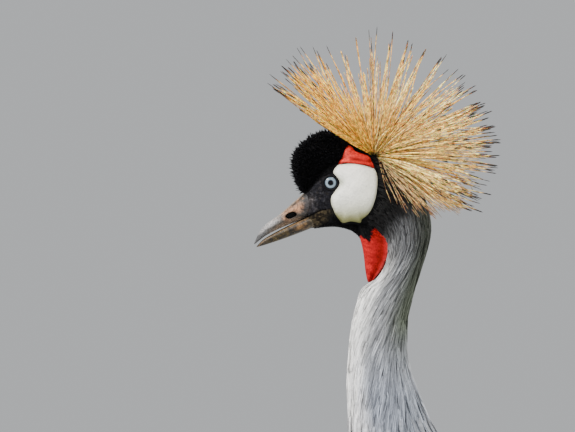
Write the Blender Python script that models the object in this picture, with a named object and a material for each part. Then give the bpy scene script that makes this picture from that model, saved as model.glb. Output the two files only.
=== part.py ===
"""Grey crowned crane: a still, life-size museum model that stands on the floor.

Sizes are in millimetres in the bird's own frame. Its origin lies between the eyes, X points
to the tail, Y to the bird's right side and Z up. The root empty sets that frame on the floor.
"""

import math
import random

import bmesh
import bpy
from mathutils import Vector
from mathutils.bvhtree import BVHTree

MM = 0.001
GAP = 0.3
EYE_HEIGHT = 930.0
FLOOR = -EYE_HEIGHT

# The trunk, from the bill's root to the rump: back x and z, front x and z, half width.
TRUNK = (
    (-23.0, -8.7, -16.8, -39.2, 10.0),
    (-17.6, 2.5, -6.5, -37.9, 13.5),
    (-9.0, 17.1, 4.0, -37.0, 16.0),
    (3.0, 27.4, 14.0, -38.0, 17.5),
    (16.8, 30.9, 23.0, -39.0, 19.0),
    (29.7, 27.4, 31.0, -40.0, 20.0),
    (42.6, 21.4, 38.0, -43.0, 20.0),
    (57.2, 13.7, 43.0, -48.0, 19.5),
    (71.0, 1.6, 46.5, -54.0, 19.5),
    (81.3, -14.7, 47.0, -62.0, 20.0),
    (86.1, -37.1, 45.5, -70.0, 20.5),
    (83.4, -56.0, 42.0, -77.5, 21.0),
    (77.8, -73.2, 37.0, -84.5, 21.0),
    (71.5, -93.6, 27.5, -94.0, 21.5),
    (65.7, -116.5, 19.4, -116.2, 22.0),
    (64.8, -135.1, 16.2, -136.0, 23.0),
    (67.1, -157.5, 14.4, -158.3, 25.0),
    (76.1, -182.4, 14.2, -184.1, 28.0),
    (89.9, -213.4, 16.3, -215.9, 33.0),
    (112.0, -245.0, 22.0, -266.0, 46.0),
    (142.0, -266.0, 36.0, -322.0, 66.0),
    (180.0, -284.0, 62.0, -380.0, 88.0),
    (222.0, -302.0, 102.0, -432.0, 103.0),
    (268.0, -325.0, 150.0, -475.0, 106.0),
    (312.0, -352.0, 205.0, -503.0, 98.0),
    (350.0, -382.0, 262.0, -514.0, 80.0),
    (384.0, -415.0, 316.0, -504.0, 56.0),
    (408.0, -445.0, 358.0, -490.0, 34.0),
    (424.0, -470.0, 392.0, -488.0, 16.0),
)
TRUNK_BOXY = 2.15
HEAD_END = 9.6
NECK_UPPER_END = 14.0
NECK_MIDDLE_END = 16.6
NECK_LOWER_END = 19.0
RUMP_END = len(TRUNK) - 1.0

# The bill: top x and z, bottom x and z, half width, from the tip to the root.
BILL_UPPER = (
    (-65.8, -52.2, -65.3, -52.9, 1.0),
    (-61.4, -42.7, -61.1, -49.5, 3.0),
    (-55.9, -35.9, -55.0, -45.0, 4.2),
    (-44.9, -28.2, -43.9, -38.8, 5.6),
    (-33.5, -18.1, -31.4, -32.6, 7.0),
    (-22.8, -8.7, -17.6, -26.6, 9.4),
    (-18.5, -5.2, -12.8, -24.6, 9.8),
)
BILL_LOWER = (
    (-63.7, -54.8, -63.4, -55.3, 0.8),
    (-59.8, -50.7, -59.3, -54.8, 2.4),
    (-55.5, -48.2, -54.6, -53.7, 3.4),
    (-44.3, -42.2, -43.4, -50.8, 4.8),
    (-33.1, -36.0, -31.0, -46.9, 6.2),
    (-20.6, -29.3, -16.8, -39.4, 8.2),
    (-14.6, -25.8, -11.0, -36.8, 8.6),
)
NOSTRIL = (-33.6, -27.4)
NOSTRIL_LENGTH = 9.6
NOSTRIL_HEIGHT = 3.2
BILL_SLOPE = math.radians(38.0)
GAPE = (-6.0, -22.7)
MOUTH_FRONT = (-26.0, -30.6)
MOUTH_OPENING = 2.4
MOUTH_DEPTH = 3.0

EYE_RADIUS = 8.2
EYE_SIDE = 9.0
LID_SIDE = 14.6
LID_RADIUS = 6.3
LID_THICKNESS = 1.2
LID_TURN = math.radians(12.0)

# The black velvet cushion: outer x and z, inner x and z, half width.
CROWN = (
    (-23.4, -9.0, -15.9, -4.4, 6.0),
    (-28.8, -1.4, -12.5, 2.5, 12.0),
    (-32.2, 9.4, -7.3, 9.4, 15.5),
    (-33.1, 19.7, -3.9, 12.8, 17.5),
    (-29.7, 28.7, -1.3, 15.4, 18.5),
    (-21.9, 36.5, 2.1, 16.3, 19.0),
    (-11.6, 42.9, 6.5, 15.4, 18.5),
    (-1.0, 43.9, 10.8, 14.5, 17.5),
    (9.9, 37.8, 15.9, 12.8, 15.5),
    (20.0, 33.2, 21.0, 12.8, 11.0),
    (26.0, 30.4, 26.0, 14.0, 6.0),
)

CHEEK_OUTLINE = (
    (6.4, 13.6), (2.4, 9.6), (6.6, 3.4), (8.6, -0.5), (6.6, -5.0), (1.2, -11.7), (0.4, -18.0), (3.9, -27.6),
    (11.0, -34.2), (25.3, -34.2), (31.9, -27.6), (37.4, -18.0), (39.6, -7.0), (40.4, 5.8), (37.6, 11.6),
    (27.0, 14.6), (16.0, 12.6),
)
RED_PATCH_OUTLINE = (
    (7.4, 14.8), (12.1, 28.3), (15.4, 31.4), (20.0, 27.8), (32.9, 22.8), (36.4, 14.0), (27.0, 15.6), (16.0, 13.6),
)
CHEEK_HEIGHT = 2.0
RED_PATCH_HEIGHT = 2.6

# The throat's red wattle: rear x and z, front x and z, half width.
WATTLE = (
    (38.0, -33.0, 22.0, -36.0, 8.0),
    (47.0, -44.0, 24.6, -45.5, 9.5),
    (50.2, -54.0, 27.0, -54.0, 9.5),
    (48.6, -64.0, 28.6, -63.0, 8.8),
    (44.0, -74.0, 29.8, -74.0, 7.2),
    (38.5, -82.0, 31.0, -81.5, 4.8),
    (34.0, -86.3, 32.6, -86.3, 1.6),
)

# The crest's root on the crown, and its spread and reach by direction.
CREST_ROOT = (37.3, 20.8)
CREST_REACH = (
    (34.0, 108.0), (61.0, 116.0), (97.0, 118.0), (141.0, 111.0), (182.0, 110.0), (206.0, 94.0),
    (223.0, 68.0), (237.0, 57.0), (250.0, 48.0),
)
CREST_SPREAD = 52.0

# The folded wing: its top and bottom edges as x, y and z, from the wrist to the tip.
WING_TOP = (
    (118.0, 46.0, -262.0),
    (175.0, 40.0, -277.0),
    (240.0, 32.0, -297.0),
    (310.0, 24.0, -333.0),
    (385.0, 17.0, -395.0),
    (455.0, 14.0, -470.0),
    (520.0, 13.0, -535.0),
)
WING_BOTTOM = (
    (62.0, 60.0, -335.0),
    (92.0, 88.0, -392.0),
    (155.0, 100.0, -440.0),
    (240.0, 98.0, -485.0),
    (330.0, 80.0, -520.0),
    (420.0, 52.0, -545.0),
    (510.0, 30.0, -562.0),
)
WING_BULGE = 9.0
WING_STAND = 10.0
WING_THICKNESS = 9.0

TAIL_ROOT = (372.0, -462.0)
TAIL_TIP = (520.0, -588.0)

# One leg: x, y, z and two radii at each station, from the thigh's root down.
THIGH = (
    (200.0, 42.0, -455.0, 36.0, 27.0),
    (206.0, 44.0, -490.0, 32.0, 24.0),
    (215.0, 46.0, -525.0, 24.0, 19.0),
    (226.0, 47.5, -562.0, 15.5, 13.5),
    (236.0, 49.0, -600.0, 8.6, 8.2),
)
SHANK = (
    (236.0, 49.0, -600.0, 6.6, 6.0),
    (243.0, 49.4, -640.0, 5.6, 5.2),
    (249.0, 49.8, -670.0, 6.6, 6.0),
    (252.0, 50.0, -686.0, 9.2, 8.0),
)
TARSUS = (
    (252.0, 50.0, -686.0, 9.6, 8.4),
    (253.0, 50.0, -698.0, 9.6, 8.4),
    (249.0, 50.0, -716.0, 6.6, 5.8),
    (242.0, 50.0, -770.0, 5.2, 4.7),
    (231.0, 50.0, -850.0, 5.1, 4.7),
    (225.0, 50.0, -893.0, 6.2, 6.0),
    (223.5, 50.0, -904.0, 7.0, 7.4),
)
FOOT_STEP = 9.0

# Vanes and locks: their thickness along the middle, and the step from one to the next one over it.
VANE_THICKNESS = 1.0
VANE_STEP = 1.4

# Tiers of the wing's vanes: count, where they start and end along the wing for the first and last
# vane, their places down the wing at root and tip for the first and last, half width and two lifts.
WING_TIERS = {
    "primaries": (3, 0.52, (0.99, 0.88), (0.62, 0.90), (0.52, 0.94), 0.14, (-5.4, -6.0)),
    "secondaries": (6, 0.50, (0.985, 0.76), (0.13, 0.84), (0.13, 0.92), 0.145, (-3.0, -1.6)),
    "coverts": (7, 0.36, (0.66, 0.77), (0.13, 0.92), (0.15, 1.02), 0.115, (-2.4, 2.9)),
}
WING_PAD_END = 0.6

# The tail's vanes, in the order that they lie over one another: place across, in half widths.
TAIL_ORDER = (0.0, 0.36, -0.36, 0.7, -0.7, 1.0, -1.0)
TAIL_VANE_HALF = 10.0

# Rows of locks on the lower neck and the breast: place along the trunk, length along it, largest
# angle from the front in degrees, count and half width.
LOCK_ROWS = {
    "neck_lower": ((17.0, 1.3, 140.0, 9, 6.6), (17.8, 1.3, 120.0, 9, 7.8)),
    "torso": ((19.35, 1.0, 60.0, 6, 9.2), (19.95, 1.0, 34.0, 5, 9.6), (20.55, 1.0, 30.0, 4, 10.4)),
}
LOCK_THICKNESS = 1.1

# The crest's bristles: rows across, their spacing in degrees, thickness and root dome.
CREST_ROWS = 11
CREST_SPACING = 12.5
CREST_DROOP_ROWS = (30.0, 42.0)
BRISTLE_RADIUS = 1.2
BRISTLE_SIDES = 3
CREST_DOME = 9.0

WATTLE_FOLD = 0.8

# The toes: name, turn outwards in degrees, length and root radius.
TOES = (
    ("inner", -30.0, 56.0, 5.0),
    ("middle", 2.0, 78.0, 5.6),
    ("outer", 34.0, 62.0, 5.0),
    ("hind", 176.0, 27.0, 4.2),
)
CLAW_LENGTH = 13.0
SOLE_SINK = 0.8


def catmull_rom(rows, place):
    """The row at a fractional place along rows, smoothly between them."""
    last = len(rows) - 1
    place = min(max(place, 0.0), float(last))
    index = min(int(place), last - 1)
    t = place - index
    a, b, c, d = (rows[min(max(index + k, 0), last)] for k in (-1, 0, 1, 2))
    return tuple(
        0.5 * (2 * q + (r - p) * t + (2 * p - 5 * q + 4 * r - s) * t * t + (3 * q - p - 3 * r + s) * t ** 3)
        for p, q, r, s in zip(a, b, c, d)
    )


def interpolate(pairs, value):
    """The second number of sorted pairs at a value of the first."""
    if value <= pairs[0][0]:
        return pairs[0][1]
    for (low, start), (high, end) in zip(pairs, pairs[1:]):
        if value <= high:
            return start + (end - start) * (value - low) / (high - low)
    return pairs[-1][1]


def steps(start, end, count):
    """Evenly spaced numbers from start to end."""
    return [start + (end - start) * k / (count - 1) for k in range(count)]


def material(name, colour, roughness, metallic=0.0):
    """A Principled material of one colour."""
    made = bpy.data.materials.get(name)
    if made is None:
        made = bpy.data.materials.new(name)
        made.use_nodes = True
        shader = made.node_tree.nodes["Principled BSDF"]
        shader.inputs["Base Color"].default_value = (*colour, 1.0)
        shader.inputs["Roughness"].default_value = roughness
        shader.inputs["Metallic"].default_value = metallic
    return made


def mesh_from_rings(name, rings):
    """A closed mesh through rings of points in millimetres, capped at both ends."""
    bm = bmesh.new()
    loops = [[bm.verts.new(point * MM) for point in ring] for ring in rings]
    for first, second in zip(loops, loops[1:]):
        longer = max(len(first), len(second))
        for k in range(longer):
            n = (k + 1) % longer
            corners = [first[k % len(first)], first[n % len(first)], second[n % len(second)], second[k % len(second)]]
            bm.faces.new(list(dict.fromkeys(corners)))
    for loop in (loops[0], loops[-1]):
        if len(loop) > 2:
            bm.faces.new(loop)
    bmesh.ops.recalc_face_normals(bm, faces=bm.faces)
    mesh = bpy.data.meshes.new(name)
    bm.to_mesh(mesh)
    bm.free()
    return mesh


def piece(name, mesh, collection):
    """An object of this mesh in a collection."""
    made = bpy.data.objects.new(name, mesh)
    collection.objects.link(made)
    return made


def section(row, sides, shift=0.0, boxy=2.0):
    """A ring across the median plane, from a row of back, front and half width."""
    back = Vector((row[0], 0.0, row[1]))
    front = Vector((row[2], 0.0, row[3]))
    centre = (back + front) / 2
    half = (back - front) / 2
    along = half.normalized()
    across = Vector((-along.z, 0.0, along.x))
    length = half.length
    width = row[4]
    ring = []
    for k in range(sides):
        angle = math.tau * k / sides
        c = math.copysign(abs(math.cos(angle)) ** (2 / boxy), math.cos(angle))
        s = math.copysign(abs(math.sin(angle)) ** (2 / boxy), math.sin(angle))
        ring.append(centre + across * shift + along * length * c + Vector((0.0, width * s, 0.0)))
    return ring


def median_loft(name, rows, start, end, count, sides, shifts=(0.0, 0.0), boxy=2.0):
    """A body across the median plane through rows, with its two ends shifted along it."""
    places = steps(start, end, count)
    moved = [shifts[0]] + [0.0] * (count - 2) + [shifts[1]]
    rings = [section(catmull_rom(rows, t), sides, shift, boxy) for t, shift in zip(places, moved)]
    return mesh_from_rings(name, rings)


def tube(name, rows, count, sides, upright=Vector((1.0, 0.0, 0.0))):
    """A limb through rows of x, y, z and two radii: along upright and across it."""
    rings = []
    last = len(rows) - 1.0
    for place in steps(0.0, last, count):
        row = catmull_rom(rows, place)
        ahead = Vector(catmull_rom(rows, min(place + 0.05, last))[:3])
        behind = Vector(catmull_rom(rows, max(place - 0.05, 0.0))[:3])
        along = (ahead - behind).normalized()
        first = (upright - along * upright.dot(along)).normalized()
        second = along.cross(first)
        centre = Vector(row[:3])
        ring = []
        for k in range(sides):
            angle = math.tau * k / sides
            ring.append(centre + first * row[3] * math.cos(angle) + second * row[4] * math.sin(angle))
        rings.append(ring)
    return mesh_from_rings(name, rings)


def blade_mesh(surface, rows, thickness):
    """A thin tapered vane or lock on a surface, split into triangles alike on both of its faces.

    Each row holds the place along and across the surface, the lift, the half width and how far
    the vane leans, so that its first edge lies higher than its second. The last row is the tip.
    """
    bm = bmesh.new()
    rings = []
    for along, across, lift, half, lean in rows[:-1]:
        points = (
            surface(along, across - half, lift + lean),
            surface(along, across, lift + thickness / 2),
            surface(along, across + half, lift - lean),
            surface(along, across, lift - thickness / 2),
        )
        rings.append([bm.verts.new(point * MM) for point in points])
    along, across, lift, _, _ = rows[-1]
    tip = bm.verts.new(surface(along, across, lift) * MM)
    for (left, over, right, under), (left_2, over_2, right_2, under_2) in zip(rings, rings[1:]):
        for edge, edge_2 in ((left, left_2), (right, right_2)):
            for middle, middle_2 in ((over, over_2), (under, under_2)):
                bm.faces.new((edge, middle, middle_2))
                bm.faces.new((edge, middle_2, edge_2))
    left, over, right, under = rings[-1]
    for first, second in ((left, over), (over, right), (right, under), (under, left)):
        bm.faces.new((first, second, tip))
    left, over, right, under = rings[0]
    bm.faces.new((left, over, under))
    bm.faces.new((over, right, under))
    bmesh.ops.recalc_face_normals(bm, faces=bm.faces)
    mesh = bpy.data.meshes.new("blade")
    bm.to_mesh(mesh)
    bm.free()
    return mesh


def bristle_mesh(points, radii):
    """A thin tapered bristle through points, which ends in a point."""
    rings = []
    for index, (point, radius) in enumerate(zip(points[:-1], radii)):
        along = (points[index + 1] - points[max(index - 1, 0)]).normalized()
        first = along.orthogonal().normalized()
        second = along.cross(first)
        ring = []
        for k in range(BRISTLE_SIDES):
            angle = math.tau * k / BRISTLE_SIDES
            ring.append(point + (first * math.cos(angle) + second * math.sin(angle)) * radius)
        rings.append(ring)
    rings.append([points[-1]])
    return mesh_from_rings("bristle", rings)


def keep_clear(point, trees, margin):
    """The point, pushed out of the shapes of these search trees by a margin in millimetres."""
    for tree in trees:
        near, normal, _, _ = tree.find_nearest(point * MM)
        out = (point * MM - near).dot(normal) / MM
        if out < margin:
            point = point + normal * (margin - out)
    return point


def tree_of(mesh):
    """A search tree of a mesh, in metres."""
    bm = bmesh.new()
    bm.from_mesh(mesh)
    bmesh.ops.triangulate(bm, faces=bm.faces)
    tree = BVHTree.FromBMesh(bm)
    bm.free()
    return tree


def prism(name, outline, near, far):
    """A block along Y of an outline in x and z, between two values of y."""
    return mesh_from_rings(name, [[Vector((x, y, z)) for x, z in outline] for y in (near, far)])


def box(name, low, high):
    """A block between two corners in millimetres."""
    outline = ((low[0], low[2]), (high[0], low[2]), (high[0], high[2]), (low[0], high[2]))
    return prism(name, outline, low[1], high[1])


def grown(name, mesh, distance):
    """A copy of a closed mesh with its faces moved out by a distance in millimetres."""
    bm = bmesh.new()
    bm.from_mesh(mesh)
    bm.normal_update()
    moved = [v.co + v.normal * v.calc_shell_factor() * distance * MM for v in bm.verts]
    for vertex, place in zip(bm.verts, moved):
        vertex.co = place
    made = bpy.data.meshes.new(name)
    bm.to_mesh(made)
    bm.free()
    return made


def combine(target, meshes, operation, solver="EXACT"):
    """One Boolean of a collection of closed meshes on a piece, applied."""
    helpers = bpy.data.collections.new("helpers")
    bpy.context.scene.collection.children.link(helpers)
    for mesh in meshes:
        piece("helper", mesh, helpers)
    modifier = target.modifiers.new("combine", "BOOLEAN")
    modifier.operation = operation
    modifier.operand_type = "COLLECTION"
    modifier.collection = helpers
    modifier.solver = solver
    graph = bpy.context.evaluated_depsgraph_get()
    result = bpy.data.meshes.new_from_object(target.evaluated_get(graph))
    target.modifiers.clear()
    target.data = result
    for helper in list(helpers.objects):
        bpy.data.objects.remove(helper)
    bpy.data.collections.remove(helpers)


def keep_largest(target):
    """Leaves only the largest closed surface of a piece, with its faces in triangles."""
    bm = bmesh.new()
    bm.from_mesh(target.data)
    bmesh.ops.remove_doubles(bm, verts=bm.verts, dist=1e-7)
    bmesh.ops.dissolve_degenerate(bm, edges=bm.edges, dist=1e-7)
    bmesh.ops.triangulate(bm, faces=bm.faces)
    bm.faces.ensure_lookup_table()
    seen = set()
    groups = []
    for face in bm.faces:
        if face in seen:
            continue
        seen.add(face)
        group = [face]
        for member in group:
            for edge in member.edges:
                for other in edge.link_faces:
                    if other not in seen:
                        seen.add(other)
                        group.append(other)
        groups.append(group)
    groups.sort(key=lambda group: sum(face.calc_area() for face in group))
    dropped = [face for group in groups[:-1] for face in group]
    bmesh.ops.delete(bm, geom=dropped, context="FACES")
    bm.to_mesh(target.data)
    bm.free()


def finish(target, look, root, angle=50.0):
    """Gives a piece its material and parent, and shades it smooth."""
    keep_largest(target)
    target.data.materials.clear()
    target.data.materials.append(look)
    target.data.shade_smooth()
    target.data.set_sharp_from_angle(angle=math.radians(angle))
    target.parent = root


def trunk_mesh(name, start, end, count, sides, shifts=(0.0, 0.0)):
    """A length of the trunk."""
    return median_loft(name, TRUNK, start, end, count, sides, shifts, TRUNK_BOXY)


def trunk_tree():
    """A search tree of the whole trunk's surface, in metres."""
    mesh = trunk_mesh("trunk_shape", 0.0, RUMP_END, 85, 32)
    tree = tree_of(mesh)
    bpy.data.meshes.remove(mesh)
    return tree


def trunk_point(along, degrees, lift):
    """A point over the trunk, by its place along it and its angle from the front."""
    row = catmull_rom(TRUNK, along)
    back = Vector((row[0], 0.0, row[1]))
    front = Vector((row[2], 0.0, row[3]))
    half = (front - back) / 2
    angle = math.radians(degrees)
    c = math.copysign(abs(math.cos(angle)) ** (2 / TRUNK_BOXY), math.cos(angle))
    s = math.copysign(abs(math.sin(angle)) ** (2 / TRUNK_BOXY), math.sin(angle))
    centre = (back + front) / 2
    return centre + half.normalized() * (half.length + lift) * c + Vector((0.0, (row[4] + lift) * s, 0.0))


def lock_meshes(name):
    """The flat locks of one node of the trunk, row over row like tiles."""
    locks = []
    for index, (start, length, spread, count, half) in enumerate(LOCK_ROWS[name]):
        shift = 0.5 * (index % 2)
        for k in range(count):
            centre = -spread + 2 * spread * (k + shift) / count
            row = catmull_rom(TRUNK, start)
            width = math.degrees(half / ((row[4] + math.hypot(row[0] - row[2], row[1] - row[3]) / 2) / 2))
            reach = length * (0.92 + 0.16 * ((k * 5 + index) % 3) / 2)
            lean = 0.35 if k % 2 else -0.35
            rows = [
                (start, centre, -1.4, width * 0.5, 0.0),
                (start + reach * 0.3, centre, 0.9, width, lean),
                (start + reach * 0.66, centre, 2.0, width * 0.8, lean),
                (start + reach, centre, 2.4, 0.0, 0.0),
            ]
            locks.append(blade_mesh(trunk_point, rows, LOCK_THICKNESS))
    return locks


def eye_mesh(side, radius):
    """One eyeball."""
    bm = bmesh.new()
    bmesh.ops.create_uvsphere(bm, u_segments=14, v_segments=8, radius=radius * MM)
    bmesh.ops.translate(bm, verts=bm.verts, vec=Vector((0.0, side * EYE_SIDE, 0.0)) * MM)
    mesh = bpy.data.meshes.new("eyeball")
    bm.to_mesh(mesh)
    bm.free()
    return mesh


def lid_mesh(side):
    """The ring of lids round one eye."""
    rings = []
    for k in range(14):
        angle = math.tau * k / 14
        spoke = Vector((math.cos(angle), 0.0, math.sin(angle)))
        ring = []
        for j in range(5):
            turn = math.tau * j / 5
            point = spoke * (LID_RADIUS + LID_THICKNESS * math.cos(turn))
            point.y = LID_THICKNESS * math.sin(turn)
            x = point.x * math.cos(LID_TURN) + point.y * math.sin(LID_TURN)
            y = point.y * math.cos(LID_TURN) - point.x * math.sin(LID_TURN)
            ring.append(Vector((x, side * (LID_SIDE - y), point.z)))
        rings.append(ring)
    bm = bmesh.new()
    loops = [[bm.verts.new(point * MM) for point in ring] for ring in rings]
    for k, loop in enumerate(loops):
        after = loops[(k + 1) % len(loops)]
        for j in range(5):
            n = (j + 1) % 5
            bm.faces.new((loop[j], loop[n], after[n], after[j]))
    bmesh.ops.recalc_face_normals(bm, faces=bm.faces)
    mesh = bpy.data.meshes.new("lid")
    bm.to_mesh(mesh)
    bm.free()
    return mesh


def mouth_cutters():
    """The two wedges that cut the line of the mouth into the head's sides."""
    half = MOUTH_OPENING / 2
    outline = (
        (MOUTH_FRONT[0], MOUTH_FRONT[1] + half),
        (GAPE[0], GAPE[1] + 0.25),
        (GAPE[0], GAPE[1] - 0.25),
        (MOUTH_FRONT[0], MOUTH_FRONT[1] - half),
    )
    inner = TRUNK[0][4] - MOUTH_DEPTH
    return [prism("mouth", outline, side * inner, side * 40.0) for side in (-1, 1)]


def head_shape():
    """The head's plain surface, which other pieces are fitted to."""
    return trunk_mesh("head_shape", 0.0, HEAD_END, 20, 18)


def make_head(parts, root):
    """The head, with lid rims, eye sockets and the line of the mouth."""
    made = piece("head", head_shape(), parts)
    combine(made, [lid_mesh(side) for side in (-1, 1)], "UNION")
    sockets = [eye_mesh(side, EYE_RADIUS + GAP) for side in (-1, 1)]
    combine(made, sockets + mouth_cutters(), "DIFFERENCE")
    finish(made, material("lores", (0.05, 0.05, 0.06), 0.8), root)
    return made


def make_eyes(parts, root):
    """The eyeballs."""
    for name, side in (("eye_left", -1), ("eye_right", 1)):
        made = piece(name, eye_mesh(side, EYE_RADIUS), parts)
        finish(made, material("eye", (0.5, 0.58, 0.62), 0.1), root)


def nostril_cutter():
    """The slit that runs through the upper bill."""
    outline = []
    for k in range(10):
        angle = math.tau * k / 10
        along = NOSTRIL_LENGTH / 2 * math.cos(angle)
        up = NOSTRIL_HEIGHT / 2 * math.sin(angle)
        x = NOSTRIL[0] + along * math.cos(BILL_SLOPE) - up * math.sin(BILL_SLOPE)
        z = NOSTRIL[1] + along * math.sin(BILL_SLOPE) + up * math.cos(BILL_SLOPE)
        outline.append((x, z))
    return prism("nostril", outline, -20.0, 20.0)


def make_bill(parts, root, head):
    """The two halves of the bill, set against the head."""
    horn = material("bill", (0.19, 0.17, 0.17), 0.45)
    upper = piece("bill_upper", median_loft("bill_upper", BILL_UPPER, 0, 6, 14, 14, boxy=2.2), parts)
    combine(upper, [grown("cut", head, GAP), nostril_cutter()], "DIFFERENCE")
    finish(upper, horn, root)
    lower = piece("bill_lower", median_loft("bill_lower", BILL_LOWER, 0, 6, 12, 12, boxy=2.2), parts)
    combine(lower, [grown("cut", head, GAP), grown("cut", upper.data, GAP)], "DIFFERENCE")
    finish(lower, horn, root)
    return upper, lower


def crown_shape():
    """The cushion's whole form, before it is set on the head."""
    return median_loft("crown", CROWN, 0, len(CROWN) - 1, 15, 16, boxy=2.3)


def make_crown(parts, root, head, bill):
    """The black cushion on the forehead and crown."""
    made = piece("crown", crown_shape(), parts)
    combine(made, [grown("cut", head, GAP), grown("cut", bill.data, GAP)], "DIFFERENCE")
    finish(made, material("velvet", (0.008, 0.008, 0.01), 0.95), root)
    return made


def smooth_outline(outline, count):
    """A closed outline through its points, on a smooth curve."""
    size = len(outline)
    points = []
    for place in (size * k / count for k in range(count)):
        index = int(place)
        rows = [outline[(index + k) % size] for k in (-1, 0, 1, 2)]
        points.append(catmull_rom(rows, 1.0 + place - index))
    return points


def make_patches(parts, root, head, crown):
    """The white cheek and the red lobe above it, on both sides."""
    rows = (
        ("cheek", CHEEK_OUTLINE, 24, CHEEK_HEIGHT, material("cheek", (0.83, 0.8, 0.72), 0.7)),
        ("red_patch", RED_PATCH_OUTLINE, 14, RED_PATCH_HEIGHT, material("red_skin", (0.6, 0.06, 0.04), 0.6)),
    )
    for word, outline, count, height, look in rows:
        for end, side in (("left", -1), ("right", 1)):
            shape = prism("patch", smooth_outline(outline, count), side * 5.0, side * 40.0)
            made = piece(f"{word}_{end}", shape, parts)
            combine(made, [grown("outside", head, height)], "INTERSECT")
            combine(made, [grown("cut", head, GAP), grown("cut", crown.data, GAP)], "DIFFERENCE")
            finish(made, look, root)


def wattle_mesh():
    """The wattle's folds: a groove down each side, and slanted ripples across it."""
    rings = []
    for place in steps(0.0, len(WATTLE) - 1.0, 12):
        ring = section(catmull_rom(WATTLE, place), 16)
        for k, point in enumerate(ring):
            angle = math.tau * k / len(ring)
            groove = -1.6 * math.exp(-((abs(math.cos(angle)) / 0.22) ** 2))
            ripple = math.sin(2.4 * place + 2.2 * math.cos(angle))
            point.y += math.copysign(1.0, point.y) * abs(math.sin(angle)) * (groove + ripple) * WATTLE_FOLD
        rings.append(ring)
    return mesh_from_rings("wattle", rings)


def make_wattle(parts, root, head, neck, bill):
    """The red wattle that hangs from the throat."""
    made = piece("wattle", wattle_mesh(), parts)
    cutters = [grown("cut", mesh, GAP) for mesh in (head, neck, bill)]
    combine(made, cutters, "DIFFERENCE")
    finish(made, material("red_skin", (0.6, 0.06, 0.04), 0.6), root)


def crest_point(direction, spread, reach):
    """A point of the crest, by its direction in the side view, its sideways angle and reach."""
    a = math.radians(direction)
    s = math.radians(spread)
    x = CREST_ROOT[0] - reach * math.cos(s) * math.cos(a)
    z = CREST_ROOT[1] + reach * math.cos(s) * math.sin(a)
    return Vector((x, reach * math.sin(s), z))


def crest_directions(draw):
    """Where the crest's bristles point: directions in the side view and sideways angles."""
    found = []
    for row, spread in enumerate(steps(-CREST_SPREAD, CREST_SPREAD, CREST_ROWS)):
        across = math.cos(math.radians(spread))
        count = round((202.0 - 36.0) * across / CREST_SPACING)
        for k in range(count + 1):
            direction = 36.0 + (202.0 - 36.0) * (k + 0.5 * (row % 2)) / (count + 0.5)
            found.append((direction + draw.uniform(-2.5, 2.5), spread + draw.uniform(-3.5, 3.5)))
    for spread in CREST_DROOP_ROWS:
        for side in (-1, 1):
            for direction in steps(210.0, 248.0 - spread / 3, 4):
                found.append((direction + draw.uniform(-2, 2), side * (spread + draw.uniform(-3, 3))))
    return found


def make_crest(parts, root, head, crown, trunk):
    """The crest: stiff thin bristles that spread from a small dome on the crown."""
    draw = random.Random(7)
    trees = [trunk, tree_of(crown.data)]
    bristles = []
    for direction, spread in crest_directions(draw):
        reach = interpolate(CREST_REACH, direction) * (1.0 - 0.1 * (spread / CREST_SPREAD) ** 2)
        reach *= draw.uniform(0.93, 1.0)
        points = []
        for share in (0.07, 0.6, 1.0):
            point = crest_point(direction, spread, reach * share)
            level = math.hypot(point.x - CREST_ROOT[0], point.y) / reach
            point.z -= 7.0 * level * share * share
            points.append(point if share < 0.1 else keep_clear(point, trees, BRISTLE_RADIUS + 1.0))
        radii = (BRISTLE_RADIUS * 0.6, BRISTLE_RADIUS)
        bristles.append(bristle_mesh(points, radii))
    bm = bmesh.new()
    bmesh.ops.create_icosphere(bm, subdivisions=2, radius=CREST_DOME * MM)
    bmesh.ops.translate(bm, verts=bm.verts, vec=Vector((CREST_ROOT[0], 0.0, CREST_ROOT[1])) * MM)
    dome = bpy.data.meshes.new("crest")
    bm.to_mesh(dome)
    bm.free()
    made = piece("crest", dome, parts)
    combine(made, bristles, "UNION", "MANIFOLD")
    combine(made, [grown("cut", head, GAP), grown("cut", crown.data, GAP)], "DIFFERENCE", "MANIFOLD")
    finish(made, material("straw", (0.62, 0.42, 0.12), 0.6), root)


def make_neck_and_torso(parts, root):
    """The three lengths of the neck, and the torso."""
    ends = (
        ("neck_upper", HEAD_END, NECK_UPPER_END, 12, 16, material("nape", (0.12, 0.12, 0.13), 0.9)),
        ("neck_middle", NECK_UPPER_END, NECK_MIDDLE_END, 8, 16, material("neck", (0.42, 0.43, 0.44), 0.9)),
        ("neck_lower", NECK_MIDDLE_END, NECK_LOWER_END, 8, 18, material("neck", (0.42, 0.43, 0.44), 0.9)),
        ("torso", NECK_LOWER_END, RUMP_END, 19, 20, material("body", (0.24, 0.25, 0.28), 0.9)),
    )
    made = {}
    for name, start, end, count, sides, look in ends:
        mesh = trunk_mesh(name, start, end, count, sides, (-GAP, 0.0))
        made[name] = piece(name, mesh, parts)
        if name in LOCK_ROWS:
            combine(made[name], lock_meshes(name), "UNION")
        finish(made[name], look, root)
    return made


def soft_maximum(a, b, blend):
    """The larger of two numbers, rounded where they are near each other."""
    return 0.5 * (a + b + math.sqrt((a - b) ** 2 + blend ** 2))


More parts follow.
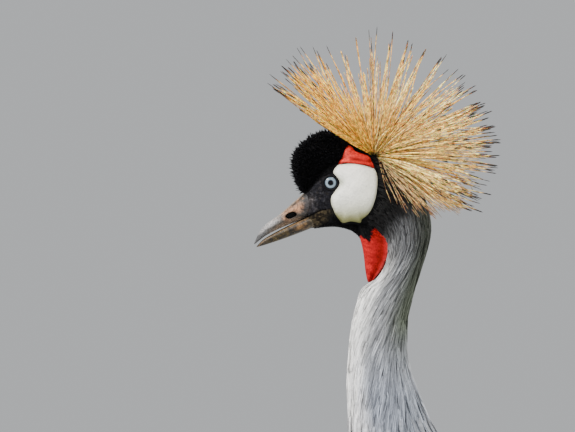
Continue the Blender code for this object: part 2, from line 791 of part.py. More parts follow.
def wing_sheet(tree, along, down, lift=0.0):
    """A point of the folded wing's outer sheet on the bird's right side."""
    def flat(u, v):
        top = Vector(catmull_rom(WING_TOP, u * (len(WING_TOP) - 1)))
        bottom = Vector(catmull_rom(WING_BOTTOM, u * (len(WING_BOTTOM) - 1)))
        point = top.lerp(bottom, v)
        point.y += WING_BULGE * math.sin(math.pi * min(max(v, 0.0), 1.0))
        start = Vector((point.x, 400.0, point.z)) * MM
        hit = tree.ray_cast(start, Vector((0.0, -1.0, 0.0)))[0]
        body = hit.y / MM if hit else 0.0
        point.y = soft_maximum(point.y, body + WING_STAND, 8.0)
        return point

    place = flat(along, down)
    if lift == 0.0:
        return place
    across = flat(along + 0.01, down) - flat(along - 0.01, down)
    fall = flat(along, down + 0.01) - flat(along, down - 0.01)
    normal = across.cross(fall).normalized()
    if normal.y < 0:
        normal = -normal
    return place + normal * lift


def sided(point, side):
    """A point of the right side, moved to the side asked for."""
    return Vector((point.x, point.y * side, point.z))


def wing_block(tree, side, end, outer_lift, inner_lift, places):
    """A closed length of the folded wing's sheet, from the wrist, between two lifts."""
    rings = []
    for along in steps(0.0, end, places):
        outer = [wing_sheet(tree, along, down, outer_lift) for down in steps(0.0, 1.0, 9)]
        inner = [wing_sheet(tree, along, down, inner_lift) for down in steps(0.94, 0.06, 6)]
        rings.append([sided(point, side) for point in outer + inner])
    return mesh_from_rings("wing", rings)


def vane_meshes(tier, side, tree):
    """One tier of the wing's vanes, each over the next like tiles."""
    count, root, ends, root_places, tip_places, half, lifts = WING_TIERS[tier]
    vanes = []

    def surface(along, down, lift):
        return sided(wing_sheet(tree, along, down, lift), side)

    for k in range(count):
        share = k / (count - 1)
        tip = ends[0] + (ends[1] - ends[0]) * share
        rows = []
        for t, size in ((0.0, 0.5), (0.25, 0.9), (0.6, 1.0), (0.85, 0.76), (1.0, 0.0)):
            along = root + (tip - root) * t
            first = root_places[0] + (tip_places[0] - root_places[0]) * t
            last = root_places[1] + (tip_places[1] - root_places[1]) * t
            spacing = (last - first) / (count - 1)
            lift = lifts[0] + (lifts[1] - lifts[0]) * min(t / 0.25, 1.0)
            width = half * size
            rows.append((along, first + (last - first) * share, lift, width, VANE_STEP * width / spacing))
        vanes.append(blade_mesh(surface, rows, VANE_THICKNESS))
    return vanes


def make_wing(name, side, parts, root, torso, neck, tree):
    """One folded wing: the close coverts as a pad, with tiers of vanes that grow from it."""
    made = piece(name, wing_block(tree, side, WING_PAD_END, 0.0, -WING_THICKNESS, 11), parts)
    vanes = [mesh for tier in WING_TIERS for mesh in vane_meshes(tier, side, tree)]
    combine(made, vanes, "UNION")
    edges = sorted((0.5 * side, -60.0 * side))
    middle = box("middle", (-100.0, edges[0], -900.0), (700.0, edges[1], 0.0))
    combine(made, [grown("cut", torso, GAP), grown("cut", neck, GAP), middle], "DIFFERENCE")
    finish(made, material("wing_white", (0.78, 0.76, 0.7), 0.85), root)
    return made


def tail_sheet(along, across, lift):
    """A point of the tail, which is roofed a little across."""
    start = Vector((TAIL_ROOT[0], 0.0, TAIL_ROOT[1]))
    end = Vector((TAIL_TIP[0], 0.0, TAIL_TIP[1]))
    up = (end - start).normalized().cross(Vector((0.0, 1.0, 0.0)))
    if up.z < 0:
        up = -up
    return start.lerp(end, along) + Vector((0.0, across, 0.0)) + up * (lift - across * across / 90.0)


def make_tail(parts, root, torso, tree):
    """The black tail: vanes one over another, that grow from a small pad at the rump."""
    lowest = -VANE_STEP * (len(TAIL_ORDER) - 1) - 1.0
    rings = []
    for along in steps(0.0, 0.42, 5):
        half = 12.0 + 4.0 * along
        over = [tail_sheet(along, across, 1.0) for across in steps(-half, half, 5)]
        under = [tail_sheet(along, across, lowest) for across in steps(half, -half, 5)]
        rings.append(over + under)
    made = piece("tail", mesh_from_rings("tail", rings), parts)
    vanes = []
    for index, place in enumerate(TAIL_ORDER):
        lift = -VANE_STEP * index
        reach = 1.0 - 0.07 * abs(place)
        rows = []
        for t, size in ((0.0, 0.5), (0.3, 0.8), (0.55, 1.0), (0.8, 1.0), (0.93, 0.75), (1.0, 0.0)):
            along = 0.25 + (reach - 0.25) * t
            rows.append((along, place * (7.0 + 9.0 * t), lift, TAIL_VANE_HALF * size, 0.0))
        vanes.append(blade_mesh(tail_sheet, rows, VANE_THICKNESS))
    combine(made, vanes, "UNION")
    folded = [wing_block(tree, side, 1.02, 5.0, -WING_THICKNESS - 0.6, 16) for side in (-1, 1)]
    combine(made, [grown("cut", torso, GAP)] + folded, "DIFFERENCE")
    finish(made, material("black_feather", (0.02, 0.02, 0.025), 0.7), root)


def leg_rows(rows, side, step):
    """Rows of a leg on one side, moved forward or back by the stance's step towards the foot."""
    moved = []
    for x, y, z, first, second in rows:
        share = min(max((-560.0 - z) / 340.0, 0.0), 1.0)
        moved.append((x + step * share, y * side, z, first, second))
    return moved


def toe_rows(turn, length, radius, side):
    """The rows of a toe from the foot's joint to the claw, lying on the floor."""
    x, y, _, _, _ = TARSUS[-1]
    angle = math.radians(turn)
    direction = Vector((-math.cos(angle), math.sin(angle) * side, 0.0))
    shape = (
        (0.0, 15.0, 1.05), (0.14, 11.0, 1.02), (0.3, None, 1.0), (0.45, None, 0.84), (0.6, None, 0.9),
        (0.76, None, 0.7), (0.9, None, 0.78), (1.0, None, 0.62),
    )
    rows = []
    for share, height, size in shape:
        r = radius * size
        z = FLOOR + (height if height else r * 0.95 - SOLE_SINK)
        point = Vector((x, y * side, z)) + direction * length * share
        rows.append((point.x, point.y, z, r * 0.95, r))
    return rows, direction


def make_leg(word, side, step, parts, root, torso):
    """One leg: feathered thigh, bare shank, tarsus, foot and claws."""
    scale = material("leg", (0.03, 0.03, 0.035), 0.5)
    thigh = piece(f"thigh_{word}", tube("thigh", leg_rows(THIGH, side, step), 8, 14), parts)
    combine(thigh, [grown("cut", torso, GAP)], "DIFFERENCE")
    finish(thigh, material("body", (0.24, 0.25, 0.28), 0.9), root)
    shank = piece(f"shank_{word}", tube("shank", leg_rows(SHANK, side, step), 9, 12), parts)
    combine(shank, [grown("cut", thigh.data, GAP)], "DIFFERENCE")
    finish(shank, scale, root)
    tarsus = piece(f"tarsus_{word}", tube("tarsus", leg_rows(TARSUS, side, step), 15, 10), parts)
    combine(tarsus, [grown("cut", shank.data, GAP)], "DIFFERENCE")
    finish(tarsus, scale, root)
    ankle = leg_rows(TARSUS, side, step)[-1]
    joint = [
        (ankle[0], ankle[1], ankle[2] + 1.0, 7.0, 7.4),
        (ankle[0] - 1.0, ankle[1], ankle[2] - 6.0, 7.6, 8.2),
        (ankle[0] - 2.0, ankle[1], ankle[2] - 14.0, 6.6, 7.6),
        (ankle[0] - 2.0, ankle[1], ankle[2] - 18.0, 4.0, 4.6),
    ]
    foot = piece(f"foot_{word}", tube("foot", joint, 7, 12), parts)
    toes = []
    ends = []
    for toe, turn, length, radius in TOES:
        rows, direction = toe_rows(turn, length, radius, side)
        rows = [(row[0] + step, *row[1:]) for row in rows]
        toes.append(tube("toe", rows, 9, 8, Vector((0.0, 0.0, 1.0))))
        ends.append((toe, rows[-1], direction))
    combine(foot, toes, "UNION")
    ground = box("ground", (-100.0, -300.0, FLOOR - 40.0), (700.0, 300.0, FLOOR))
    combine(foot, [ground, grown("cut", tarsus.data, GAP)], "DIFFERENCE")
    finish(foot, scale, root)
    for toe, row, direction in ends:
        make_claw(f"claw_{toe}_{word}", row, direction, foot.data, parts, root)


def make_claw(name, row, direction, foot, parts, root):
    """One claw, fitted over its toe's end."""
    start = Vector(row[:3]) - direction * 1.5
    rows = []
    for t in steps(0.0, 1.0, 5):
        radius = row[3] * 0.86 * (1.0 - t) ** 0.8 + 0.35
        centre = start + direction * CLAW_LENGTH * t
        z = max(row[2] + 0.5 - 2.6 * t * t, FLOOR + radius + 0.4)
        rows.append((centre.x, centre.y, z, radius, radius * 0.8))
    made = piece(name, tube(name, rows, 5, 7, Vector((0.0, 0.0, 1.0))), parts)
    combine(made, [grown("cut", foot, GAP)], "DIFFERENCE")
    finish(made, material("claw", (0.06, 0.055, 0.05), 0.4), root)


def centre_on_floor(root, parts):
    """Moves the root so that the bird stands on the floor, centred over the origin."""
    low = [1e9, 1e9]
    high = [-1e9, -1e9]
    for made in parts.objects:
        for vertex in made.data.vertices:
            for axis in (0, 1):
                low[axis] = min(low[axis], vertex.co[axis])
                high[axis] = max(high[axis], vertex.co[axis])
    root.location = (-(low[0] + high[0]) / 2, -(low[1] + high[1]) / 2, EYE_HEIGHT * MM)


def main():
    for old in list(bpy.data.objects):
        bpy.data.objects.remove(old)
    parts = bpy.data.collections.new("grey_crowned_crane")
    bpy.context.scene.collection.children.link(parts)
    root = bpy.data.objects.new("crane", None)
    bpy.context.scene.collection.objects.link(root)
    tree = trunk_tree()
    head = head_shape()
    trunk = make_neck_and_torso(parts, root)
    make_head(parts, root)
    make_eyes(parts, root)
    upper, lower = make_bill(parts, root, head)
    crown = make_crown(parts, root, head, upper)
    make_patches(parts, root, head, crown)
    make_wattle(parts, root, head, trunk["neck_upper"].data, lower.data)
    make_crest(parts, root, head, crown, tree)
    torso = trunk["torso"].data
    for name, side in (("wing_left", -1), ("wing_right", 1)):
        make_wing(name, side, parts, root, torso, trunk["neck_lower"].data, tree)
    make_tail(parts, root, torso, tree)
    for word, side, step in (("left", -1, -FOOT_STEP), ("right", 1, FOOT_STEP)):
        make_leg(word, side, step, parts, root, torso)
    centre_on_floor(root, parts)


main()
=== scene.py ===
"""Grey crowned crane: the feathered, coloured model over its solids, with light and camera.

Sizes are in millimetres in the bird's own frame, as in the part's source: its origin lies
between the eyes, X points to the tail, Y to the bird's right side and Z up.
"""

import math

import bpy
import numpy as np
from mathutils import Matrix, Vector
from mathutils.bvhtree import BVHTree


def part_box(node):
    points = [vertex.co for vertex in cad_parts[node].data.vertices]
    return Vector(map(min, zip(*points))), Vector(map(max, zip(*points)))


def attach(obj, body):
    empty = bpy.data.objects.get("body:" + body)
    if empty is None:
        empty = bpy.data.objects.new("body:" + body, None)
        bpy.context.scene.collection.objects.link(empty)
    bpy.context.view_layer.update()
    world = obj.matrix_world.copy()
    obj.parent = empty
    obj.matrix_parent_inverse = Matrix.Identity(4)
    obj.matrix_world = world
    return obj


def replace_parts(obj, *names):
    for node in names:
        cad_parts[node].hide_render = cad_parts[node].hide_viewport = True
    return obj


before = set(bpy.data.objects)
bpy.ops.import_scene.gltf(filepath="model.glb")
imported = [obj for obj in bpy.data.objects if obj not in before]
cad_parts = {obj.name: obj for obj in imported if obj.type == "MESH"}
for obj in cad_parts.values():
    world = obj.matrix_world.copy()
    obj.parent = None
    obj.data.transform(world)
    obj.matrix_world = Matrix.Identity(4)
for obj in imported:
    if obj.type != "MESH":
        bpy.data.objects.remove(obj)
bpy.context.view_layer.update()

MM = 0.001
EYES = [sum(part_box(name), Vector()) / 2 for name in ("eye_left", "eye_right")]
ORIGIN = np.array((EYES[0] + EYES[1]) / 2)
FLOOR = -ORIGIN[2] / MM
# The frame's directions.
TO_TAIL, TO_RIGHT, UPWARD = np.eye(3)

# The trunk, from the bill's root to the rump: back x and z, front x and z, half width.
TRUNK = (
    (-23.0, -8.7, -16.8, -39.2, 10.0),
    (-17.6, 2.5, -6.5, -37.9, 13.5),
    (-9.0, 17.1, 4.0, -37.0, 16.0),
    (3.0, 27.4, 14.0, -38.0, 17.5),
    (16.8, 30.9, 23.0, -39.0, 19.0),
    (29.7, 27.4, 31.0, -40.0, 20.0),
    (42.6, 21.4, 38.0, -43.0, 20.0),
    (57.2, 13.7, 43.0, -48.0, 19.5),
    (71.0, 1.6, 46.5, -54.0, 19.5),
    (81.3, -14.7, 47.0, -62.0, 20.0),
    (86.1, -37.1, 45.5, -70.0, 20.5),
    (83.4, -56.0, 42.0, -77.5, 21.0),
    (77.8, -73.2, 37.0, -84.5, 21.0),
    (71.5, -93.6, 27.5, -94.0, 21.5),
    (65.7, -116.5, 19.4, -116.2, 22.0),
    (64.8, -135.1, 16.2, -136.0, 23.0),
    (67.1, -157.5, 14.4, -158.3, 25.0),
    (76.1, -182.4, 14.2, -184.1, 28.0),
    (89.9, -213.4, 16.3, -215.9, 33.0),
    (112.0, -245.0, 22.0, -266.0, 46.0),
    (142.0, -266.0, 36.0, -322.0, 66.0),
    (180.0, -284.0, 62.0, -380.0, 88.0),
    (222.0, -302.0, 102.0, -432.0, 103.0),
    (268.0, -325.0, 150.0, -475.0, 106.0),
    (312.0, -352.0, 205.0, -503.0, 98.0),
    (350.0, -382.0, 262.0, -514.0, 80.0),
    (384.0, -415.0, 316.0, -504.0, 56.0),
    (408.0, -445.0, 358.0, -490.0, 34.0),
    (424.0, -470.0, 392.0, -488.0, 16.0),
)
TRUNK_BOXY = 2.15
RUMP_END = len(TRUNK) - 1.0

# How far the skin lies inside the solids, by place along the trunk.
SKIN_DEPTH = (
    (0.0, 0.2), (4.0, 0.4), (8.0, 0.9), (10.0, 1.6), (13.0, 2.4), (18.0, 3.0), (20.0, 4.5), (27.0, 3.0),
    (28.0, 1.0),
)

# The neck's locks: their length and how strongly they drift, by place along the trunk, and each stretch
# of them as name, slot, start, end, the distance between locks and the strands in each.
LOCK_REACH = ((5.0, 7.0), (8.4, 12.0), (10.0, 22.0), (12.0, 30.0), (15.0, 38.0), (18.0, 44.0))
NECK_FLOW = ((9.0, 0.05), (12.0, 0.16), (14.0, 0.34), (16.5, 0.34), (18.5, 0.12), (20.0, 0.0))
NECK_COATS = (
    ("hindhead_coat", "nape_feather", 5.2, 8.8, 3.0, 8),
    ("nape_coat", "nape_feather", 8.4, 12.2, 4.0, 12),
    ("neck_coat_upper", "neck_feather", 12.0, 15.9, 4.2, 13),
    ("neck_coat_lower", "neck_feather", 15.6, 18.4, 5.0, 13),
)
# How light the coat is, by height.
HEAD_SHADE = ((-130.0, 1.0), (-95.0, 0.85), (-70.0, 0.5), (-50.0, 0.32))

# The two halves of the bill, from the tip back: upper edge x and z, lower edge x and z, half width.
BILL_UPPER = (
    (-65.8, -52.2, -65.3, -52.9, 1.0),
    (-61.4, -42.7, -61.1, -49.5, 3.0),
    (-55.9, -35.9, -55.0, -45.0, 4.2),
    (-44.9, -28.2, -43.6, -39.2, 5.6),
    (-33.5, -18.1, -30.8, -33.9, 7.0),
    (-22.8, -8.7, -17.0, -28.4, 9.4),
    (-18.5, -5.2, -12.0, -26.4, 9.8),
    (-14.0, -4.6, -8.0, -25.0, 6.5),
)
BILL_LOWER = (
    (-63.7, -54.8, -63.4, -55.3, 0.8),
    (-59.8, -50.5, -59.3, -54.2, 2.4),
    (-55.5, -47.1, -54.6, -52.8, 3.4),
    (-44.3, -40.8, -43.4, -49.1, 4.8),
    (-33.1, -35.2, -31.0, -44.6, 6.2),
    (-20.6, -29.2, -16.8, -39.0, 8.0),
    (-14.6, -26.6, -11.2, -35.8, 6.8),
    (-9.5, -24.8, -7.0, -34.0, 4.6),
)
BILL_BOXY = 2.1
# The bill's edges along the mouth, as x and z.
UPPER_EDGE = tuple(row[2:4] for row in BILL_UPPER[1:6])
LOWER_EDGE = tuple(row[0:2] for row in BILL_LOWER[:6]) + ((-14.6, -25.8),)
# The nostril's centre as x and z, its size and how it slopes.
NOSTRIL = (-33.9, -27.9)
NOSTRIL_LENGTH = 9.8
NOSTRIL_HEIGHT = 5.4
NOSTRIL_SLOPE = math.radians(26.0)
# The mouth's line from the bill's root to below the eye, and how wide its crease is.
MOUTH_WIDTH = 0.8
MOUTH_LINE = ((-27.0, -33.2), (-21.5, -30.4), (-18.2, -28.8), (-13.0, -25.9), (-8.6, -23.7), (-4.2, -23.1))

SIDES = (("left", -1.0), ("right", 1.0))

# The eyeball, how far out its centre, and the socket's rim, lie, and the radii seen from the side.
EYE_RADIUS = 8.2
EYE_SIDE = 9.0
SOCKET_SIDE = 14.9
LID_RADIUS = 6.05
PUPIL_RADIUS = 2.25
IRIS_RADIUS = 4.75

# The black velvet cushion: outer x and z, inner x and z, half width.
CROWN = (
    (-23.4, -9.0, -15.9, -4.4, 6.0),
    (-28.8, -1.4, -12.5, 2.5, 12.0),
    (-32.2, 9.4, -7.3, 9.4, 15.5),
    (-33.1, 19.7, -3.9, 12.8, 17.5),
    (-29.7, 28.7, -1.3, 15.4, 18.5),
    (-21.9, 36.5, 2.1, 16.3, 19.0),
    (-11.6, 42.9, 6.5, 15.4, 18.5),
    (-1.0, 43.9, 10.8, 14.5, 17.5),
    (9.9, 37.8, 15.9, 12.8, 15.5),
    (20.0, 33.2, 21.0, 12.8, 11.0),
    (26.0, 30.4, 26.0, 14.0, 6.0),
)
CROWN_BOXY = 2.3
CROWN_DEPTH = 2.4
# The lower edge of the velvet on the side of the head, down to the cheek.
VELVET_EDGE = (
    (-24.0, -12.0), (-18.2, -7.3), (-13.0, -0.6), (-7.6, 4.1), (-2.4, 7.3), (1.6, 8.8), (8.0, 13.0),
)
# The feathered line of the chin and throat, as the photo shows it from the side.
CHIN_EDGE = (
    (-14.0, -38.2), (-6.0, -37.4), (4.0, -37.2), (9.9, -38.0), (14.3, -39.2), (18.7, -41.2), (23.1, -44.8),
    (25.7, -48.6),
)

# The white cheek and the red lobe over it, as outlines in x and z.
RIM_POINTS = 168
CHEEK_OUTLINE = (
    (6.6, 16.0), (2.2, 10.2), (3.4, 7.0), (6.1, 3.6), (7.2, 0.3), (6.6, -2.9), (3.4, -7.3), (0.3, -11.7),
    (0.1, -17.2), (1.7, -22.7), (3.9, -27.6), (7.7, -32.6), (11.0, -34.7), (17.6, -33.6), (25.3, -34.7),
    (26.9, -32.0), (31.9, -27.6), (36.3, -20.5), (39.0, -11.7), (40.4, -0.8), (40.4, 5.8), (38.4, 11.4),
    (34.6, 13.8), (24.0, 16.4), (14.0, 16.8),
)
CHEEK_CENTRE = (20.5, -9.0)
CHEEK_HEIGHT = 3.8
LOBE_OUTLINE = (
    (6.4, 16.2), (9.9, 22.3), (12.1, 28.3), (15.4, 32.2), (18.7, 30.5), (21.4, 27.2), (27.4, 25.0),
    (32.9, 22.8), (35.2, 19.0), (37.6, 12.4), (31.9, 14.4), (20.9, 16.1), (13.0, 16.8),
)
LOBE_CENTRE = (20.5, 21.0)
LOBE_HEIGHT = 2.6

# The throat's red wattle: rear x and z, front x and z, half width.
WATTLE = (
    (40.0, -33.5, 22.0, -36.0, 9.5),
    (51.5, -43.8, 24.6, -45.5, 11.6),
    (54.6, -54.5, 27.0, -54.0, 12.0),
    (51.6, -65.0, 28.6, -63.0, 11.0),
    (45.4, -74.8, 29.8, -74.0, 8.4),
    (39.6, -81.4, 30.9, -80.8, 5.8),
    (36.2, -85.4, 32.0, -85.2, 2.6),
)
WATTLE_BOXY = 3.2
# The lower edge of the black notch at the wattle's top.
NOTCH_EDGE = ((20.0, -43.0), (25.7, -46.0), (33.8, -51.4), (36.6, -37.0), (40.0, -33.0))

# The crest's root on the crown, its reach by direction in the side view, and how dense it is there.
# Directions are in degrees from straight ahead over the top.
CREST_ROOT = (37.2, 22.6)
CREST_REACH = (
    (30.0, 102.0), (34.0, 109.0), (39.5, 118.0), (61.0, 118.0), (83.0, 119.0), (97.0, 119.0), (109.0, 119.0),
    (120.0, 113.0), (132.0, 113.0), (141.0, 110.0), (148.0, 111.0), (163.5, 112.0), (182.0, 110.0),
    (193.5, 103.0), (206.0, 92.0), (212.0, 87.0), (223.0, 68.0), (237.0, 57.0), (250.0, 48.0),
)
CREST_DENSITY = (
    (34.0, 1.3), (38.0, 1.8), (60.0, 1.3), (72.0, 0.9), (135.0, 1.0), (155.0, 1.6), (206.0, 1.7),
    (219.0, 1.3), (225.0, 0.75), (238.0, 0.32), (250.0, 0.12),
)
CREST_FIRST = 34.0
CREST_LAST = 250.0
# Beyond this direction the bristles droop down the nape.
CREST_DROOP = 205.0
# A bristle's half width by the share of its length.
BRISTLE_WIDTHS = ((0.0, 0.36), (0.25, 0.60), (0.8, 0.58), (0.95, 0.54), (0.985, 0.44), (1.0, 0.0))
CREST_SPREAD = 52.0
CREST_COUNT = 760

# The folded wing: its top and bottom edges as x, y and z, from the wrist to the tip.
WING_TOP = (
    (118.0, 46.0, -262.0),
    (175.0, 40.0, -277.0),
    (240.0, 32.0, -297.0),
    (310.0, 24.0, -333.0),
    (385.0, 17.0, -395.0),
    (455.0, 14.0, -470.0),
    (520.0, 13.0, -535.0),
)
WING_BOTTOM = (
    (62.0, 60.0, -335.0),
    (92.0, 88.0, -392.0),
    (155.0, 100.0, -440.0),
    (240.0, 98.0, -485.0),
    (330.0, 80.0, -520.0),
    (420.0, 52.0, -545.0),
    (510.0, 30.0, -562.0),
)
WING_LAST = len(WING_TOP) - 1.0
WING_BULGE = 9.0
WING_STAND = 10.0

# The ends of the tail, as x and z.
TAIL_ROOT = (372.0, -462.0)
TAIL_TIP = (520.0, -588.0)

# One leg: x, y, z and two radii at each station, from the thigh's root down.
THIGH = (
    (200.0, 42.0, -455.0, 36.0, 27.0),
    (206.0, 44.0, -490.0, 32.0, 24.0),
    (215.0, 46.0, -525.0, 24.0, 19.0),
    (226.0, 47.5, -562.0, 15.5, 13.5),
    (236.0, 49.0, -600.0, 8.6, 8.2),
)
THIGH_COAT = THIGH[:4] + (
    (234.5, 48.9, -594.0, 9.4, 8.8),
    (240.0, 49.2, -622.0, 6.2, 5.8),
    (244.5, 49.5, -648.0, 5.4, 5.0),
)
SHANK = (
    (234.0, 48.8, -592.0, 6.4, 5.8),
    (243.0, 49.4, -640.0, 5.6, 5.2),
    (249.0, 49.8, -670.0, 6.6, 6.0),
    (251.4, 50.0, -684.0, 7.4, 6.6),
)
TARSUS = (
    (249.8, 49.9, -671.0, 6.0, 5.4),
    (251.8, 50.0, -684.0, 8.8, 7.8),
    (253.0, 50.0, -698.0, 9.6, 8.4),
    (249.0, 50.0, -716.0, 6.6, 5.8),
    (242.0, 50.0, -770.0, 5.2, 4.7),
    (231.0, 50.0, -850.0, 5.1, 4.7),
    (225.0, 50.0, -893.0, 6.2, 6.0),
    (223.5, 50.0, -906.0, 7.0, 7.4),
)
# The foot's hub round the tarsus's end: x and z from there, and two radii.
HUB = ((0.0, 4.0, 6.8, 7.2), (-1.0, -4.0, 7.6, 8.2), (-2.0, -12.0, 6.8, 7.8), (-2.0, -17.0, 3.6, 4.2))
FOOT_STEP = 9.0
# Each toe's name, its direction from straight ahead in degrees, its length and its radius.
TOES = (
    ("inner", -30.0, 56.0, 5.0),
    ("middle", 2.0, 78.0, 5.6),
    ("outer", 34.0, 62.0, 5.0),
    ("hind", 176.0, 27.0, 4.2),
)
# A toe from its root: share of the length, height where it isn't on the floor, and size.
TOE_ROWS = (
    (0.0, 15.0, 1.05), (0.14, 11.0, 1.02), (0.3, None, 1.0), (0.45, None, 0.84), (0.6, None, 0.9),
    (0.76, None, 0.7), (0.9, None, 0.78), (1.0, None, 0.62),
)
CLAW_LENGTH = 13.0

# Metres from here on: the camera's place from the head, and each lamp as name, place from the head,
# size, energy and colour.
CAMERA_PLACE = (-0.037, -5.041, -0.0285)
CAMERA_LENS = 367.0
FLOOR_HALF = 9.0
LAMPS = (
    ("key", (-1.3, -1.2, 1.5), 0.8, 112.0, (1.0, 0.97, 0.92)),
    ("fill", (1.4, -1.8, 0.4), 1.6, 16.0, (0.93, 0.96, 1.0)),
    ("back", (1.9, 1.0, 1.0), 0.8, 62.0, (1.0, 0.98, 0.94)),
    ("top", (0.8, -0.7, 2.0), 0.4, 42.0, (1.0, 0.95, 0.86)),
)

BLACK = (0.003, 0.003, 0.0035)
SLATE = (0.0065, 0.0065, 0.0085)
TUFT_BLACK = (0.004, 0.004, 0.005)
BODY_GREY = (0.17, 0.18, 0.21)
WING_GREY = (0.15, 0.155, 0.18)
STRAW_ROOT = (0.20, 0.11, 0.04)


def rows_at(rows, place):
    """The rows at fractional places along them, smoothly between them."""
    rows = np.asarray(rows, float)
    last = len(rows) - 1
    place = np.clip(np.asarray(place, float), 0.0, last)
    index = np.minimum(place.astype(int), last - 1)
    t = (place - index)[..., None]
    a, b, c, d = (rows[np.clip(index + k, 0, last)] for k in (-1, 0, 1, 2))
    return 0.5 * (2 * b + (c - a) * t + (2 * a - 5 * b + 4 * c - d) * t**2 + (3 * b - a - 3 * c + d) * t**3)


def between(pairs, value):
    """The second number of sorted pairs at values of the first."""
    return np.interp(value, [pair[0] for pair in pairs], [pair[1] for pair in pairs])


def smooth(low, high, value):
    """A smooth step from 0 at low to 1 at high."""
    t = np.clip((np.asarray(value, float) - low) / (high - low), 0.0, 1.0)
    return t * t * (3.0 - 2.0 * t)


def mix(first, second, share):
    """Colours between two colours or arrays of them."""
    share = np.asarray(share, float)[..., None]
    return np.asarray(first, float) * (1.0 - share) + np.asarray(second, float) * share


def unit(vectors):
    """Vectors scaled to length 1."""
    return vectors / np.maximum(np.linalg.norm(vectors, axis=-1, keepdims=True), 1e-9)


def hump(distance, width):
    """A bell curve: 1 at no distance, and fading over this width."""
    return np.exp(-((distance / width) ** 2))


def noise(points, size, seed=0):
    """Smooth seeded noise from -1 to 1 over points, with a grain of this size."""
    place = np.asarray(points, float) / size + seed * 17.31
    cell = np.floor(place).astype(np.int64)
    f = place - cell
    f = f * f * (3.0 - 2.0 * f)
    total = np.zeros(place.shape[:-1])
    for corner in range(8):
        step = np.array((corner & 1, corner >> 1 & 1, corner >> 2 & 1))
        q = cell + step
        mixed = (q[..., 0] * 73856093) ^ (q[..., 1] * 19349663) ^ (q[..., 2] * 83492791)
        mixed = ((mixed ^ (mixed >> 13)) * 1274126177) & 0x7FFFFFFF
        weight = np.prod(np.where(step == 1, f, 1.0 - f), axis=-1)
        total += weight * ((mixed % 10007) / 5003.0 - 1.0)
    return total


def loft(rows, place, degrees, lift, boxy):
    """Points over a body across the median plane, by place and angle from its front."""
    place, degrees, lift = np.broadcast_arrays(place, degrees, np.asarray(lift, float))
    row = rows_at(rows, place)
    back = row[..., 0:2]
    front = row[..., 2:4]
    half = (front - back) / 2
    length = np.linalg.norm(half, axis=-1)
    angle = np.radians(degrees)
    c = np.sign(np.cos(angle)) * np.abs(np.cos(angle)) ** (2 / boxy)
    s = np.sign(np.sin(angle)) * np.abs(np.sin(angle)) ** (2 / boxy)
    flat = (front + back) / 2 + half * ((length + lift) / length * c)[..., None]
    return np.stack((flat[..., 0], (row[..., 4] + lift) * s, flat[..., 1]), axis=-1)


def trunk(place, degrees, lift=0.0):
    """Points over the trunk."""
    return loft(TRUNK, place, degrees, lift, TRUNK_BOXY)


def grid_over(rows, rings, sides):
    """Places along rows and degrees round them, as a grid."""
    places = np.linspace(0.0, len(rows) - 1.0, rings)
    return np.meshgrid(places, np.linspace(0.0, 360.0, sides, endpoint=False), indexing="ij")


def arc_length(paths):
    """How far each point of a path, or of many paths, lies from its start."""
    steps = np.linalg.norm(np.diff(paths, axis=-2), axis=-1)
    return np.concatenate((np.zeros(steps.shape[:-1] + (1,)), np.cumsum(steps, axis=-1)), axis=-1)


TRUNK_PLACES = np.linspace(0.0, RUMP_END, 900)
TRUNK_ROWS = rows_at(TRUNK, TRUNK_PLACES)
TRUNK_ARC = arc_length((TRUNK_ROWS[:, 0:2] + TRUNK_ROWS[:, 2:4]) / 2)


def further(place, distance):
    """The place that lies this many millimetres further along the trunk."""
    return np.interp(np.interp(place, TRUNK_PLACES, TRUNK_ARC) + distance, TRUNK_ARC, TRUNK_PLACES)


def girth(place):
    """The trunk's mean radius."""
    row = rows_at(TRUNK, place)
    return (np.hypot(row[..., 0] - row[..., 2], row[..., 1] - row[..., 3]) / 2 + row[..., 4]) / 2


def new_node(nodes, kind, **inputs):
    """A shader node with its inputs set by name."""
    made = nodes.new(kind)
    for word, value in inputs.items():
        made.inputs[word.replace("_", " ").title()].default_value = value
    return made


def flecked(tree, colour, where, size, strength, sharp):
    """A colour made lighter and darker by noise."""
    spots = new_node(tree.nodes, "ShaderNodeTexNoise", scale=1.0 / size, detail=4.0)
    tree.links.new(where, spots.inputs["Vector"])
    ends = {"from_min": 0.5 - sharp, "from_max": 0.5 + sharp, "to_min": 1.0 - strength}
    spread = new_node(tree.nodes, "ShaderNodeMapRange", to_max=1.0 + strength, **ends)
    tree.links.new(spots.outputs["Fac"], spread.inputs["Value"])
    scaled = tree.nodes.new("ShaderNodeVectorMath")
    scaled.operation = "SCALE"
    tree.links.new(colour, scaled.inputs[0])
    tree.links.new(spread.outputs["Result"], scaled.inputs["Scale"])
    return scaled.outputs["Vector"]


def relief(tree, where, size, height):
    """The normals of a fine bumpy surface."""
    grain = new_node(tree.nodes, "ShaderNodeTexNoise", scale=1.0 / (size * MM), detail=3.0)
    tree.links.new(where, grain.inputs["Vector"])
    raised = new_node(tree.nodes, "ShaderNodeBump", strength=1.0, distance=height * MM)
    tree.links.new(grain.outputs["Fac"], raised.inputs["Height"])
    return raised.outputs["Normal"]


def attribute(tree, name):
    """A node that reads one of the mesh's own attributes."""
    made = tree.nodes.new("ShaderNodeAttribute")
    made.attribute_name = name
    return made


